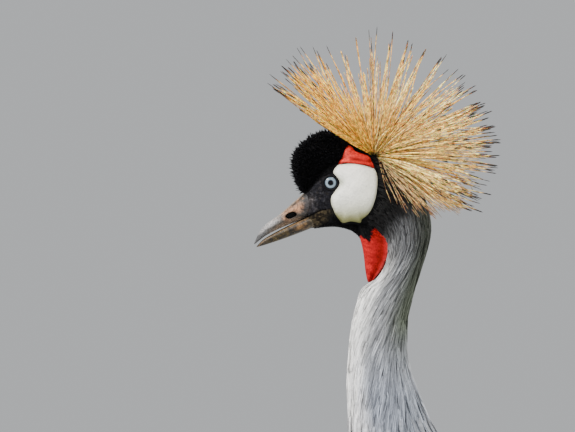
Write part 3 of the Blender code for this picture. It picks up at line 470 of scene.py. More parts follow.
def look(
    name, roughness, fleck=0.0, fleck_size=2.0, sharp=0.2, bump=0.0, bump_size=0.5, barbs=False, **sockets
):
    """A Principled material whose colour is the mesh's tint; the flecks of barbs follow each tuft."""
    made = bpy.data.materials.new(name)
    made.use_nodes = True
    tree = made.node_tree
    shader = tree.nodes["Principled BSDF"]
    shader.inputs["Roughness"].default_value = roughness
    for word, value in sockets.items():
        shader.inputs[word.replace("_", " ").title().replace("Ior", "IOR")].default_value = value
    where = tree.nodes.new("ShaderNodeTexCoord").outputs["Object"]
    colour = attribute(tree, "tint").outputs["Color"]
    if fleck and barbs:
        colour = flecked(tree, colour, attribute(tree, "grain").outputs["Vector"], fleck_size, fleck, sharp)
    elif fleck:
        colour = flecked(tree, colour, where, fleck_size * MM, fleck, sharp)
    tree.links.new(colour, shader.inputs["Base Color"])
    if bump:
        tree.links.new(relief(tree, where, bump_size, bump), shader.inputs["Normal"])
    return made


def skin_look():
    """Dull mottled skin of the face and under the coat."""
    return look("skin", 0.66, 0.42, 1.4, 0.14, bump=0.6, bump_size=1.5, specular_ior_level=0.04)


def eye_look():
    """The eye's wet surface."""
    return look("eye", 0.06, specular_ior_level=0.16)


def lid_look():
    """The black skin of the lids."""
    return look("lid", 0.6, bump=0.1, bump_size=0.4, specular_ior_level=0.1)


def cheek_look():
    """The white bare skin of the cheeks."""
    return look("cheek", 0.62, 0.06, 1.6, bump=0.75, bump_size=1.7, specular_ior_level=0.3)


def red_look():
    """The red bare skin of the lobes and the wattle."""
    return look("red_skin", 0.6, 0.25, 1.2, bump=0.5, bump_size=1.2, specular_ior_level=0.06)


def horn_look():
    """The mottled horn of the bill."""
    return look("bill_horn", 0.5, 0.35, 1.4, 0.14, bump=0.2, bump_size=1.4, specular_ior_level=0.22)


def velvet_look():
    """The short black feathers of the head, which hardly shine."""
    return look("velvet", 0.95, specular_ior_level=0.08)


def bristle_look():
    """The crest's flecked straw, which lets some light through."""
    thin = {"subsurface_weight": 0.4, "subsurface_scale": 0.001}
    return look("crest_bristle", 0.5, 0.55, 3.8, 0.08, barbs=True, specular_ior_level=0.3, **thin)


def strand_look():
    """The fine strands of the neck."""
    return look("neck_feather", 0.62, 0.10, 6.0, barbs=True, specular_ior_level=0.2)


def blade_look():
    """The feathers of the body, the wings and the tail."""
    return look("hackle", 0.62, 0.3, 4.0, barbs=True)


def scale_look():
    """The dark scales of the legs."""
    return look("leg_scale", 0.42, 0.2, 1.5, bump=0.1, bump_size=0.9)


def claw_look():
    """The horn of the claws."""
    return look("claw_horn", 0.35, 0.15, 1.5)


def fill(layer, word, values):
    """Write one value of every item of a mesh layer."""
    layer.foreach_set(word, values.astype(np.float32).ravel())


def add_mesh(name, points, corners, sizes, material, tint, uv, grain=None):
    """An object that rides on the body, from points in the bird's frame."""
    mesh = bpy.data.meshes.new(name)
    mesh.vertices.add(len(points))
    fill(mesh.vertices, "co", points * MM + ORIGIN)
    mesh.loops.add(len(corners))
    mesh.loops.foreach_set("vertex_index", corners.astype(np.int32))
    mesh.polygons.add(len(sizes))
    mesh.polygons.foreach_set("loop_start", (np.cumsum(sizes) - sizes).astype(np.int32))
    mesh.update(calc_edges=True)
    mesh.shade_smooth()
    fill(mesh.uv_layers.new(name="OFBake").data, "uv", uv)
    rgba = np.concatenate((np.clip(tint, 0.0, 1.0), np.ones((len(points), 1))), axis=1)
    fill(mesh.attributes.new("tint", "FLOAT_COLOR", "POINT").data, "color", rgba)
    if grain is not None:
        fill(mesh.attributes.new("grain", "FLOAT_VECTOR", "POINT").data, "vector", grain)
    mesh.materials.append(material)
    made = bpy.data.objects.new(name, mesh)
    bpy.context.scene.collection.objects.link(made)
    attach(made, "root")
    return made


def ring_quads(rings, sides):
    """The faces between rings of points: their corners, and their steps round and along."""
    i, j = np.meshgrid(np.arange(rings - 1), np.arange(sides), indexing="ij")
    n = (j + 1) % sides
    quads = np.stack((i * sides + j, i * sides + n, (i + 1) * sides + n, (i + 1) * sides + j), axis=-1)
    round_it = np.stack((j, j + 1, j + 1, j), axis=-1)
    along = np.stack((i, i, i + 1, i + 1), axis=-1)
    return quads.reshape(-1, 4), np.stack((round_it, along), axis=-1).reshape(-1, 2)


def add_grid(name, points, tint, material, grain=None):
    """A closed piece from rings of points, with its two ends filled by fans."""
    rings, sides, _ = points.shape
    tint = np.broadcast_to(tint, points.shape)
    quads, steps = ring_quads(rings, sides)
    uv = [0.02 + steps / (sides, rings - 1) * (0.96, 0.9)]
    corners = [quads.ravel()]
    around = np.arange(sides)
    turn = math.tau * np.arange(sides + 1) / sides
    rim = np.stack((np.cos(turn), np.sin(turn)), axis=-1) * 0.018
    for k, (ring, order) in enumerate(((0, -1), (rings - 1, 1))):
        edge = np.stack((ring * sides + around, ring * sides + (around + 1) % sides), axis=-1)[:, ::order]
        corners.append(np.concatenate((edge, np.full((sides, 1), rings * sides + k)), axis=1).ravel())
        middle = np.array((0.05 + 0.06 * k, 0.965))
        pair = np.stack((rim[:-1], rim[1:]), axis=1)[:, ::order] + middle
        uv.append(np.concatenate((pair, np.broadcast_to(middle, (sides, 1, 2))), axis=1).reshape(-1, 2))
    sizes = np.concatenate((np.full(len(quads), 4), np.full(2 * sides, 3)))
    caps = [np.stack((field[0].mean(axis=0), field[-1].mean(axis=0))) for field in (points, tint)]
    all_points = np.concatenate((points.reshape(-1, 3), caps[0]))
    all_tint = np.concatenate((tint.reshape(-1, 3), caps[1]))
    if grain is not None:
        grain = np.concatenate((grain.reshape(-1, 3), grain[0, :1], grain[-1, :1]))
    flat = np.concatenate(corners)
    return add_mesh(name, all_points, flat, sizes, material, all_tint, np.concatenate(uv), grain)


def tuft_faces(rings, sides):
    """The faces of one tuft: quads between its rings, a fan to its tip and a closed root."""
    quads, steps = ring_quads(rings, sides)
    around = np.arange(sides)
    last = (rings - 1) * sides
    fan = np.stack((last + around, last + (around + 1) % sides, np.full(sides, rings * sides)), axis=-1)
    level = np.broadcast_to((rings - 1, rings - 1, rings), (sides, 3))
    fan_steps = np.stack((np.stack((around, around + 1, around + 0.5), axis=-1), level), axis=-1)
    turn = math.tau * around[::-1] / sides
    root_steps = np.stack((0.5 + 0.5 * np.cos(turn), -0.5 + 0.4 * np.sin(turn)), axis=-1)
    corners = np.concatenate((quads.ravel(), fan.ravel(), around[::-1]))
    sizes = [4] * len(quads) + [3] * sides + [sides]
    return corners, sizes, np.concatenate((steps, fan_steps.reshape(-1, 2), root_steps))


def tuft_grain(paths, sides, seeds):
    """Each tuft's own space for its flecks: round it, along it in millimetres, and a seed."""
    count, steps, _ = paths.shape
    reach = arc_length(paths)
    grain = np.zeros((count, (steps - 1) * sides + 1, 3))
    grain[:, :-1, 0] = np.tile(np.cos(math.tau * np.arange(sides) / sides), steps - 1)
    grain[:, :-1, 1] = np.repeat(reach[:, :-1], sides, axis=1)
    grain[:, -1, 1] = reach[:, -1]
    grain[..., 2] = seeds[:, None]
    return grain


def add_tufts(name, material, paths, side, widths, heights, tints, places, draw, sides=3, cup=0.0):
    """One object of many closed tapered tufts, each a tube along a path that ends in a point."""
    count, steps, _ = paths.shape
    along = unit(np.gradient(paths, axis=1))
    first = unit(side - along * np.sum(side * along, axis=-1, keepdims=True))
    second = np.cross(along, first)
    turn = math.tau * np.arange(sides)[:, None] / sides
    c = np.cos(turn)
    s = np.sin(turn)
    w = np.broadcast_to(widths, (count, steps))[:, :-1, None, None]
    h = np.broadcast_to(heights, (count, steps))[:, :-1, None, None]
    across = first[:, :-1, None] * c * w
    up = second[:, :-1, None] * (s * h - np.abs(c) * w * cup)
    rings = paths[:, :-1, None] + across + up
    points = np.concatenate((rings.reshape(count, -1, 3), paths[:, -1:]), axis=1)
    corners, sizes, spots = tuft_faces(steps - 1, sides)
    corners = (np.arange(count)[:, None] * points.shape[1] + corners).ravel()
    uv = (0.03 + 0.93 * np.clip(places, 0.0, 1.0))[:, None] + spots / (sides, steps - 1) * 0.003
    tints = np.broadcast_to(tints, paths.shape)
    tint = np.concatenate((np.repeat(tints[:, :-1], sides, axis=1), tints[:, -1:]), axis=1)
    grain = tuft_grain(paths, sides, draw.uniform(0.0, 50.0, count))
    flat = [field.reshape(-1, field.shape[-1]) for field in (points, tint, uv, grain)]
    return add_mesh(name, flat[0], corners, np.tile(sizes, count), material, flat[1], flat[2], flat[3])


def tree_from(points):
    """A search tree of a grid of rings, in millimetres."""
    quads = ring_quads(points.shape[0], points.shape[1])[0]
    return BVHTree.FromPolygons(points.reshape(-1, 3).tolist(), quads.tolist())


def inside(outline, points):
    """Whether points lie inside a closed outline in x and z."""
    x, z = points[..., 0], points[..., 2]
    found = np.zeros(x.shape, bool)
    for (x0, z0), (x1, z1) in zip(outline, outline[1:] + outline[:1]):
        crosses = (z0 > z) != (z1 > z)
        found ^= crosses & (x < (x1 - x0) * (z - z0) / (z1 - z0 + 1e-12) + x0)
    return found


def enlarged(outline, share, centre=(0.0, 0.0), shift=0.0):
    """An outline made larger round a centre and moved along x."""
    middle = np.array(centre)
    return [tuple(middle + share * (point - middle) + (shift, 0.0)) for point in np.array(outline)]


def side_of(trees, x, z, side):
    """How far out the surface lies at x and z on one side."""
    best = 0.0
    for tree in trees:
        hit = tree.ray_cast(Vector((x, side * 300.0, z)), Vector((0.0, -side, 0.0)))[0]
        if hit is not None:
            best = max(best, hit.y * side)
    return best


def toward(points, first, second):
    """How far points lie from a segment in x and z."""
    step = np.subtract(second, first)
    x, z = points[..., 0] - first[0], points[..., 2] - first[1]
    t = np.clip((x * step[0] + z * step[1]) / (step @ step), 0.0, 1.0)
    return np.hypot(x - t * step[0], z - t * step[1])


def near_line(points, first, second, width):
    """A hump along a segment in x and z."""
    return hump(toward(points, first, second), width)


def blob(points, centre, squares):
    """A round hump in x and z, by the squares of its two widths."""
    x, z = points[..., 0] - centre[0], points[..., 2] - centre[1]
    return np.exp(-(x**2 / squares[0] + z**2 / squares[1]))


def coat_colour(points, degrees):
    """The colour of the trunk's coat at points in the bird's frame, with painted shade towards the rear and a
    painted highlight on the rear edge.
    """
    x, z = points[..., 0], points[..., 2]
    around = (1.0 - np.cos(np.radians(degrees))) / 2
    side = np.abs(degrees)
    front = mix((0.97, 0.97, 0.97), (0.34, 0.345, 0.36), smooth(-90.0, -52.0, z))
    # Darker from the front round to the rear: partly the coat's own colour, partly painted shade for light
    # that falls from the front.
    grey = mix(front, (0.275, 0.284, 0.305), smooth(0.04, 0.46, around))
    grey = mix(grey, (0.068, 0.080, 0.058), smooth(0.44, 0.92, around) * smooth(-175.0, -120.0, z))
    grey = grey * between(HEAD_SHADE, z)[..., None]
    grey = mix(grey, (0.22, 0.235, 0.215), 0.7 * smooth(166.0, 176.0, side) * smooth(-70.0, -40.0, z))
    # The lower coat too: lighter at the front, darker towards the rear, partly painted shade.
    lower = mix((0.84, 0.84, 0.87), (0.200, 0.220, 0.266), smooth(0.04, 0.36, around))
    lower = mix(lower, (0.162, 0.180, 0.212), smooth(0.5, 0.95, around))
    grey = mix(grey, lower, smooth(-115.0, -190.0, z))
    rear = smooth(-128.0, -150.0, z) * smooth(-262.0, -206.0, z)
    # A broken dark line inside the rear edge: painted shade of the gap between the feathers.
    stripe = 0.85 * rear * hump(side - 156.0, 5.0) * smooth(-0.35, 0.3, noise(points, 6.0, 47))
    grey = mix(grey, (0.03, 0.03, 0.035), stripe)
    # A pale rim along the rear edge: a painted highlight of light from behind.
    grey = mix(grey, (0.40, 0.41, 0.43), 0.45 * rear * smooth(162.0, 174.0, side))
    grey = mix(grey, BODY_GREY, smooth(-225.0, -330.0, z))
    return mix(grey, BLACK, smooth(-17.0, 13.0, z - x + 93.0 + 4.0 * noise(points, 7.0, 3)))


def face_tint(points):
    """The skin and horn above the mouth: slate, with tan and black blotches at the bill's root."""
    x, z = points[..., 0], points[..., 2]
    blot = noise(points, 5.0, 21) * 0.6 + noise(points, 2.2, 22) * 0.5
    speck = noise(points, 2.4, 41) * 0.7 + noise(points, 1.2, 42) * 0.5
    bare = mix((0.042, 0.036, 0.030), (0.012, 0.0115, 0.014), smooth(-27.0, -19.0, x))
    bare = mix(bare, SLATE, smooth(-19.0, -10.0, x + 0.35 * (z + 14.0)))
    bare = mix(bare, SLATE, 0.85 * smooth(10.0, 7.2, np.hypot(x, z)))
    dots = np.clip(2.2 * noise(points, 1.4, 53) - 0.8, 0.0, 0.4)
    bare = mix(bare, (0.045, 0.044, 0.049), dots * smooth(-26.0, -20.0, x) * smooth(0.0, -8.0, x))
    near = near_line(points, (-38.0, -28.0), (-26.5, -20.5), 4.2)
    tan = np.clip(1.15 * near + 0.7 * blot * (near > 0.02) - 0.15, 0.0, 1.0)
    tint = mix(bare, (0.30, 0.155, 0.085), tan * smooth(-16.0, -23.0, x))
    tint = mix(tint, (0.075, 0.066, 0.066), 0.5 * near_line(points, (-24.0, -24.0), (-17.0, -15.0), 3.0))
    dark = np.clip(2.2 * speck - 0.5, 0.0, 0.85) * smooth(-52.0, -42.0, x)
    return mix(tint, (0.018, 0.016, 0.016), dark)


def gape_tint(points):
    """The skin and horn below the mouth: mottled olive brown, black towards the cheek."""
    x, z = points[..., 0], points[..., 2]
    blot = noise(points, 5.0, 21) * 0.6 + noise(points, 2.2, 22) * 0.6
    warm = mix((0.046, 0.032, 0.011), (0.12, 0.066, 0.027), hump(x + 27.0, 9.0) * smooth(-44.0, -38.0, z))
    warm = mix(warm, (0.060, 0.046, 0.026), smooth(-23.0, -16.0, x))
    fine = noise(points, 1.7, 51) * 0.8 + noise(points, 0.9, 52) * 0.6
    tint = mix(warm, (0.007, 0.0055, 0.0045), np.clip(0.58 + 1.1 * blot + 1.2 * fine, 0.0, 1.0) * 0.94)
    tint = mix(tint, (0.02, 0.016, 0.014), smooth(-50.0, -58.0, x) * 0.85)
    return mix(tint, (0.006, 0.006, 0.006), smooth(-10.0, 2.0, x + 0.5 * (-30.0 - z)))


def skin_points(places, degrees):
    """The skin's surface, less the coat's depth, with sockets; also how near the mouth's line is."""
    points = trunk(places, degrees, -between(SKIN_DEPTH, places))
    side = np.sign(points[..., 1])
    reach = np.abs(points[..., 1]) * (0.8 + 0.2 * smooth(0.0, 0.7, places))
    radius = np.hypot(points[..., 0], points[..., 2])
    reach = reach + (SOCKET_SIDE - reach) * smooth(11.0, 6.6, radius) * (reach > 6.0)
    reach = reach - 4.0 * smooth(5.7, 4.9, radius) * (reach > 6.0)
    near = np.min([toward(points, start, end) for start, end in zip(MOUTH_LINE, MOUTH_LINE[1:])], axis=0)
    near = near / np.interp(points[..., 0], (-20.0, -4.0), (1.35, 0.7))
    reach = reach - 1.5 * hump(near, MOUTH_WIDTH) * (reach > 6.0)
    points[..., 1] = side * reach
    return points, near


def bare_tint(points):
    """The bare skin round the bill's root and the eye, with black where velvet covers it."""
    x, z = points[..., 0], points[..., 2]
    mottle = noise(points, 2.6, 5) * 0.6 + noise(points, 1.3, 6) * 0.7
    over = smooth(-0.4, 0.4, z - between(MOUTH_LINE + ((30.0, -16.0),), x))
    lores = mix(gape_tint(points), face_tint(points) * np.exp(0.8 * mottle)[..., None], over)
    black = smooth(6.0, 11.0, x) + smooth(-31.0, -37.0, z) * smooth(-12.0, -6.0, x)
    lores = mix(lores, BLACK, np.clip(black, 0.0, 1.0))
    return mix(lores, BLACK, smooth(-0.6, 0.6, z - between(VELVET_EDGE, x) + 0.8 * noise(points, 1.6, 43)))


def make_skin():
    """One skin from the bill's root to the rump."""
    head = np.linspace(0.0, 9.6, 190)
    neck = np.linspace(9.6, 19.0, 120)[1:]
    torso = np.linspace(19.0, RUMP_END, 70)[1:]
    degrees = np.linspace(0.0, 360.0, 200, endpoint=False)
    place, angle = np.meshgrid(np.concatenate((head, neck, torso)), degrees, indexing="ij")
    points, mouth = skin_points(place, angle)
    face = smooth(9.0, 6.0, place)
    # Under the coat, the coat's colour darkened: painted shade beneath it.
    tint = mix(coat_colour(points, angle) * 0.45, bare_tint(points), face)
    # A dark line along the mouth: partly the mouth's own line, partly painted shade in its crease.
    tint = mix(tint, (0.002, 0.002, 0.002), 0.95 * hump(mouth, MOUTH_WIDTH) * face)
    made = add_grid("skin", points, tint, skin_look())
    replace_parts(made, "head", "neck_upper", "neck_middle", "neck_lower", "torso")
    return points


def iris_tint(flat, around, rise):
    """The eye's colours by distance from its centre: black pupil, pale blue iris with a paler ring and dark
    rim; the ring is partly painted highlight, dimmed on top by a painted shadow of the lid.
    """
    streaks = noise(np.stack((np.cos(around) * 6.0, np.sin(around) * 6.0, flat * 0.3), axis=-1), 0.5, 8)
    iris = np.array((0.150, 0.200, 0.250)) * (1.0 + 0.2 * streaks[..., None])
    # A paler ring: partly the iris's own colour, partly painted highlight; dimmed towards the top by a
    # painted shadow of the lid.
    iris = mix(iris, (0.30, 0.39, 0.46), hump(flat - 3.5, 0.7) * 0.45 * (1.0 - 0.5 * rise / (flat + 0.1)))
    iris = mix(iris, (0.06, 0.085, 0.11), smooth(2.85, 2.3, flat))
    iris = mix(iris, (0.07, 0.10, 0.13), smooth(4.0, 4.7, flat) * 0.8)
    tint = mix(iris, TUFT_BLACK, smooth(PUPIL_RADIUS + 0.12, PUPIL_RADIUS - 0.12, flat))
    return mix(tint, (0.012, 0.014, 0.018), smooth(IRIS_RADIUS - 0.15, IRIS_RADIUS + 0.2, flat))


def make_eyes():
    """The eyeballs, as rings round the line of sight, and the lids round them."""
    glass = eye_look()
    dark = lid_look()
    polar = np.radians(np.concatenate((np.linspace(0.5, 48.0, 110), np.linspace(48.0, 178.0, 40)[1:])))
    round_eye = np.radians(np.linspace(0.0, 360.0, 96, endpoint=False))
    round_lid = np.linspace(0.0, math.tau, 14, endpoint=False)
    for name, side in SIDES:
        a, b = np.meshgrid(polar, round_eye, indexing="ij")
        flat = EYE_RADIUS * np.sin(a)
        out = side * (EYE_SIDE + EYE_RADIUS * np.cos(a))
        points = np.stack((flat * np.cos(b), out, flat * np.sin(b) * -side), axis=-1)
        eye = add_grid(f"eyeball_{name}", points, iris_tint(flat, b, points[..., 2]), glass)
        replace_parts(eye, f"eye_{name}")
        ring, tube = np.meshgrid(np.linspace(0.0, math.tau, 97), round_lid, indexing="ij")
        radius = LID_RADIUS * (1.0 + 0.10 * np.abs(np.cos(ring)) ** 6) + 1.0 * np.cos(tube)
        out = side * (SOCKET_SIDE + 0.25 + 0.85 * np.sin(tube) + 0.1 * np.sin(ring * 9.0))
        rim = np.stack((radius * np.cos(ring), out, radius * np.sin(ring) * -side), axis=-1)
        add_grid(f"lid_{name}", rim, TUFT_BLACK, dark)


def smooth_outline(outline):
    """A closed outline through its points, on a smooth curve."""
    size = len(outline)
    rows = [outline[(k - 1) % size] for k in range(size + 3)]
    return rows_at(rows, 1.0 + size * np.arange(RIM_POINTS) / RIM_POINTS)


def patch(name, outline, centre, height, trees, tint_of, material, slot, side, relief_of, edge=2.2):
    """A puffed patch of bare skin on the side of the head."""
    rim = smooth_outline(outline)
    centre = np.array(centre)
    rings = []
    for share in np.concatenate((np.linspace(0.04, 0.85, 26), np.linspace(0.85, 1.0, 14)[1:])):
        flat = centre + (rim - centre) * share
        out = np.array([side_of(trees, x, z, side) for x, z in flat])
        puff = height * max(1.0 - share**edge, 0.0) ** 0.5 - 0.7 * share**20
        rings.append(np.stack((flat[:, 0], out + puff, flat[:, 1]), axis=-1))
    outer = np.array(rings)
    outer[..., 1] += relief_of(outer)
    for _ in range(3):
        inner = outer[1:-1, :, 1]
        turned = np.roll(inner, 1, axis=1) + np.roll(inner, -1, axis=1)
        outer[1:-1, :, 1] = (turned + outer[:-2, :, 1] + outer[2:, :, 1]) / 4
    back = outer[::-6].copy()
    back[..., 1] -= height + 1.2
    points = np.concatenate((outer, back))
    points[..., 1] += 0.10 * noise(points, 3.0, 11) + 0.05 * noise(points, 1.1, 12)
    tint = tint_of(points)
    points[..., 1] *= side
    if side > 0:
        points = points[:, ::-1]
        tint = tint[:, ::-1]
    return add_grid(name, points, tint, material)


def cheek_relief(points):
    """A dent behind the eye and a fold over the nub at the cheek's foot."""
    dent = 1.5 * blob(points, (10.5, 1.0), (12.0, 30.0))
    fold = 0.7 * near_line(points, (18.5, -30.5), (28.0, -27.5), 1.5)
    return 0.6 * noise(points, 6.5, 44) - dent - fold


def lobe_relief(points):
    """Two humps with a groove below them."""
    humps = 0.9 * blob(points, (15.0, 26.5), (14.0, 14.0)) + 0.7 * blob(points, (31.0, 21.5), (12.0, 12.0))
    return humps - 1.1 * near_line(points, (17.5, 20.8), (34.0, 18.2), 1.3)


def cheek_tint(points):
    """Warm white, with painted shade: darker towards the lower right and at the rim, olive towards the bottom
    with a painted green reflection, and grey in the dent.
    """
    x, z = points[..., 0], points[..., 2]
    rim = smooth_outline(CHEEK_OUTLINE)
    edge = np.hypot(x[..., None] - rim[:, 0], z[..., None] - rim[:, 1]).min(axis=-1)
    # Darker towards the lower right: painted shade of the domed cheek.
    tint = mix((0.86, 0.85, 0.80), (0.58, 0.59, 0.49), 0.6 * smooth(8.0, 42.0, x - 0.6 * z))
    # Olive towards the bottom, darkest in a band along the lower rim: painted shade with a painted green
    # reflection.
    tint = mix(tint, (0.27, 0.28, 0.105), 0.92 * smooth(-11.0, -36.0, z))
    tint = mix(tint, (0.20, 0.20, 0.075), 0.9 * smooth(-22.0, -31.0, z) * smooth(9.0, 1.5, edge))
    # Darker along the rim: painted shade where the cheek rounds down.
    tint = mix(tint, tint * (0.55, 0.55, 0.46), 0.75 * smooth(3.0, 0.4, edge))
    # Grey in the dent behind the eye: painted shade.
    tint = mix(tint, (0.42, 0.45, 0.36), 0.8 * blob(points, (9.6, 0.8), (7.0, 22.0)))
    return tint * (1.0 + 0.05 * noise(points, 2.0, 13) + 0.04 * noise(points, 0.9, 45))[..., None]


def lobe_tint(points):
    """Red, with painted highlight on its humps and painted shade in its groove and along its lower edge."""
    x, z = points[..., 0], points[..., 2]
    # Paler on the humps: painted highlight.
    tint = mix((0.58, 0.024, 0.017), (0.68, 0.066, 0.050), 0.7 * blob(points, (13.0, 24.0), (30.0, 60.0)))
    # Dark in the groove: painted shade.
    tint = mix(tint, (0.20, 0.006, 0.005), 0.85 * near_line(points, (18.0, 20.6), (34.0, 18.0), 1.6))
    # Dark along the lower edge: painted shade.
    tint = mix(tint, (0.20, 0.008, 0.006), 0.85 * smooth(18.2, 15.8, z + 0.10 * (x - 20.0)))
    return tint * np.exp(0.22 * noise(points, 1.6, 14))[..., None]


def make_patches(trees):
    """The white cheeks and the red lobes over them."""
    white = cheek_look()
    red = red_look()
    cheek = (CHEEK_OUTLINE, CHEEK_CENTRE, CHEEK_HEIGHT, trees, cheek_tint, white, "cheek_skin")
    lobe = (LOBE_OUTLINE, LOBE_CENTRE, LOBE_HEIGHT, trees, lobe_tint, red, "red_skin")
    for name, side in SIDES:
        made = patch(f"cheek_skin_{name}", *cheek, side, cheek_relief)
        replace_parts(made, f"cheek_{name}")
        made = patch(f"lobe_{name}", *lobe, side, lobe_relief, 3.0)
        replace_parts(made, f"red_patch_{name}")
    return red


def wattle_points(place, angle):
    """The wattle's surface, with a groove down each side and fine slanted folds."""
    points = loft(WATTLE, place, angle, 0.0, WATTLE_BOXY)
    across = np.cos(np.radians(angle))
    groove = 0.5 * hump(across + 0.55, 0.25) - 1.5 * hump(across + 0.12, 0.2)
    ripple = 0.16 * np.sin(points[..., 2] * 1.9 + points[..., 0] * 1.3 + 1.5 * noise(points, 5.0, 15))
    depth = groove + ripple + 0.12 * noise(points, 1.3, 16)
    points[..., 1] += np.sin(np.radians(angle)) * depth * smooth(0.0, 0.5, place) * smooth(6.0, 5.0, place)
    return points


def wattle_tint(points, across):
    """Deep red, with painted shade in the grooves and a black notch at the top."""
    x, z = points[..., 0], points[..., 2]
    tint = mix((0.35, 0.0085, 0.0095), (0.34, 0.040, 0.036), smooth(-0.25, -0.6, across) * 0.9)
    # Dark in the groove down each side: painted shade.
    tint = mix(tint, (0.16, 0.004, 0.003), 0.85 * hump(across + 0.12, 0.17))
    slant = noise(np.stack((x * 0.35 + z * 0.9, points[..., 1] * 0.4, x * 0.2), axis=-1), 1.2, 17)
    tint = tint * np.exp(0.38 * slant + 0.2 * noise(points, 1.3, 46))[..., None]
    return mix(tint, BLACK, smooth(-0.6, 0.6, z - between(NOTCH_EDGE, x) + noise(points, 1.4, 18) * 1.3))


def make_wattle_tufts(draw, velvet, count=900):
    """Short tufts, black and red, round the wattle's top."""
    place = 1.35 * draw.uniform(0.0, 1.0, count) ** 1.5
    angle = draw.uniform(60.0, 300.0, count)
    root = loft(WATTLE, place, angle, -0.3, WATTLE_BOXY)
    out = unit(loft(WATTLE, place, angle, 1.0, WATTLE_BOXY) - root)
    way = out * 0.35 + np.array((0.35, 0.0, -0.85)) + draw.normal(0.0, 0.12, (count, 3))
    tip = root + way * draw.uniform(1.6, 3.4, (count, 1))
    paths = np.stack((root, (root + tip) / 2 + out * 0.4, tip), axis=1)
    side = np.cross(out, (0.0, 0.0, 1.0))[:, None] + 0.01
    notched = root[:, 2] > between(NOTCH_EDGE, root[:, 0]) - 0.6
    black = notched | (draw.uniform(0.0, 1.0, count) > place * 1.6)
    tints = mix((0.34, 0.010, 0.006), BLACK, black)[:, None]
    widths = (0.22, 0.2, 0.0)
    places = np.stack((angle / 360.0, place / 6.0), axis=-1)
    add_tufts("wattle_tufts", velvet, paths, side, widths, widths, tints, places, draw)


def make_wattle(draw, red, velvet):
    """The red wattle of the throat, with tufts round its top."""
    place, angle = grid_over(WATTLE, 110, 72)
    points = wattle_points(place, angle)
    tint = wattle_tint(points, np.cos(np.radians(angle)))
    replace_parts(add_grid("wattle_skin", points, tint, red), "wattle")
    make_wattle_tufts(draw, velvet)


def nostril(points):
    """How far points lie from the nostril's centre, as a share of its size: a skewed ragged slot."""
    x, z = points[..., 0] - NOSTRIL[0], points[..., 2] - NOSTRIL[1]
    spot = x * math.cos(NOSTRIL_SLOPE) + z * math.sin(NOSTRIL_SLOPE)
    high = z * math.cos(NOSTRIL_SLOPE) - x * math.sin(NOSTRIL_SLOPE)
    wide = np.abs((spot + 0.45 * high) / (NOSTRIL_LENGTH / 2)) ** 2.5
    ragged = 0.10 * noise(points * (1.0, 0.0, 1.0), 1.6, 54)
    return (wide + np.abs(high / (NOSTRIL_HEIGHT / 2)) ** 2.5) ** 0.4 + ragged


def upper_tint(points):
    """The horn of the upper bill: a painted highlight along its ridge and on its tip, a warm line and a black
    line along its edge, the black one partly painted shade, and a nostril filled with painted shade.
    """
    x, z = points[..., 0], points[..., 2]
    edge = z - between(UPPER_EDGE, x)
    warm = 0.5 * hump(edge - 2.4, 1.3) * smooth(-52.0, -42.0, x) * smooth(-22.0, -30.0, x)
    tint = mix(face_tint(points), (0.20, 0.125, 0.075), warm)
    # A black line along the edge: partly the horn's dark edge, partly painted shade of the mouth's slit.
    tint = mix(tint, (0.016, 0.013, 0.012), 0.9 * smooth(1.4, 0.3, edge) * smooth(-62.0, -52.0, x))
    # A pale line along the ridge: painted highlight.
    ridge = smooth(5.0, 2.0, np.abs(points[..., 1])) * smooth(-60.0, -50.0, x)
    ridge = ridge * smooth(-36.0, -30.0, z - 0.5 * x - 12.0)
    tint = mix(tint, (0.44, 0.33, 0.25), 0.55 * ridge * smooth(-20.0, -27.0, x))
    tint = mix(tint, (0.085, 0.085, 0.090), smooth(-46.0, -58.0, x) * 0.85)
    # Paler on top of the tip: painted highlight.
    tint = mix(tint, (0.38, 0.37, 0.38), 0.6 * smooth(-38.0, -50.0, x) * smooth(4.0, 6.6, edge))
    hole = nostril(points)
    # The sunken nostril: a brown rim round it, and black inside, painted shade.
    tint = mix(tint, (0.085, 0.060, 0.045), 0.6 * smooth(1.5, 1.15, hole))
    tint = mix(tint, (0.003, 0.003, 0.003), smooth(1.1, 0.9, hole))
    return tint * np.exp(0.45 * noise(points, 1.0, 23) * np.interp(x, (-55.0, -40.0), (0.3, 1.0)))[..., None]


def lower_tint(points):
    """The horn of the lower bill: mottled, with a warm line and a black line along its edge, the black one
    partly painted shade of the mouth's slit.
    """
    x, z = points[..., 0], points[..., 2]
    edge = between(LOWER_EDGE, x) - z
    tint = mix(gape_tint(points), (0.20, 0.125, 0.060), 0.45 * hump(edge - 1.4, 0.7))
    # A black line along the edge: partly the horn's dark edge, partly painted shade of the mouth's slit.
    line = 0.9 * smooth(1.0 + 0.12 * (x + 32.0), 0.2, edge) * smooth(-40.0, -32.0, x)
    return mix(tint, (0.014, 0.011, 0.009), line) * np.exp(0.45 * noise(points, 1.0, 23))[..., None]


def make_bill():
    """The two halves of the bill, with the nostril sunk into the upper one from both sides."""
    horn = horn_look()
    points = loft(BILL_UPPER, *grid_over(BILL_UPPER, 220, 128), 0.0, BILL_BOXY)
    tint = upper_tint(points)
    points[..., 1] *= 1.0 - 0.93 * smooth(1.0, 0.75, nostril(points))
    points[..., 1] *= 1.0 + 0.012 * noise(points, 2.5, 24)
    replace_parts(add_grid("upper_bill", points, tint, horn), "bill_upper")
    points = loft(BILL_LOWER, *grid_over(BILL_LOWER, 140, 80), 0.0, BILL_BOXY)
    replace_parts(add_grid("lower_bill", points, lower_tint(points), horn), "bill_lower")


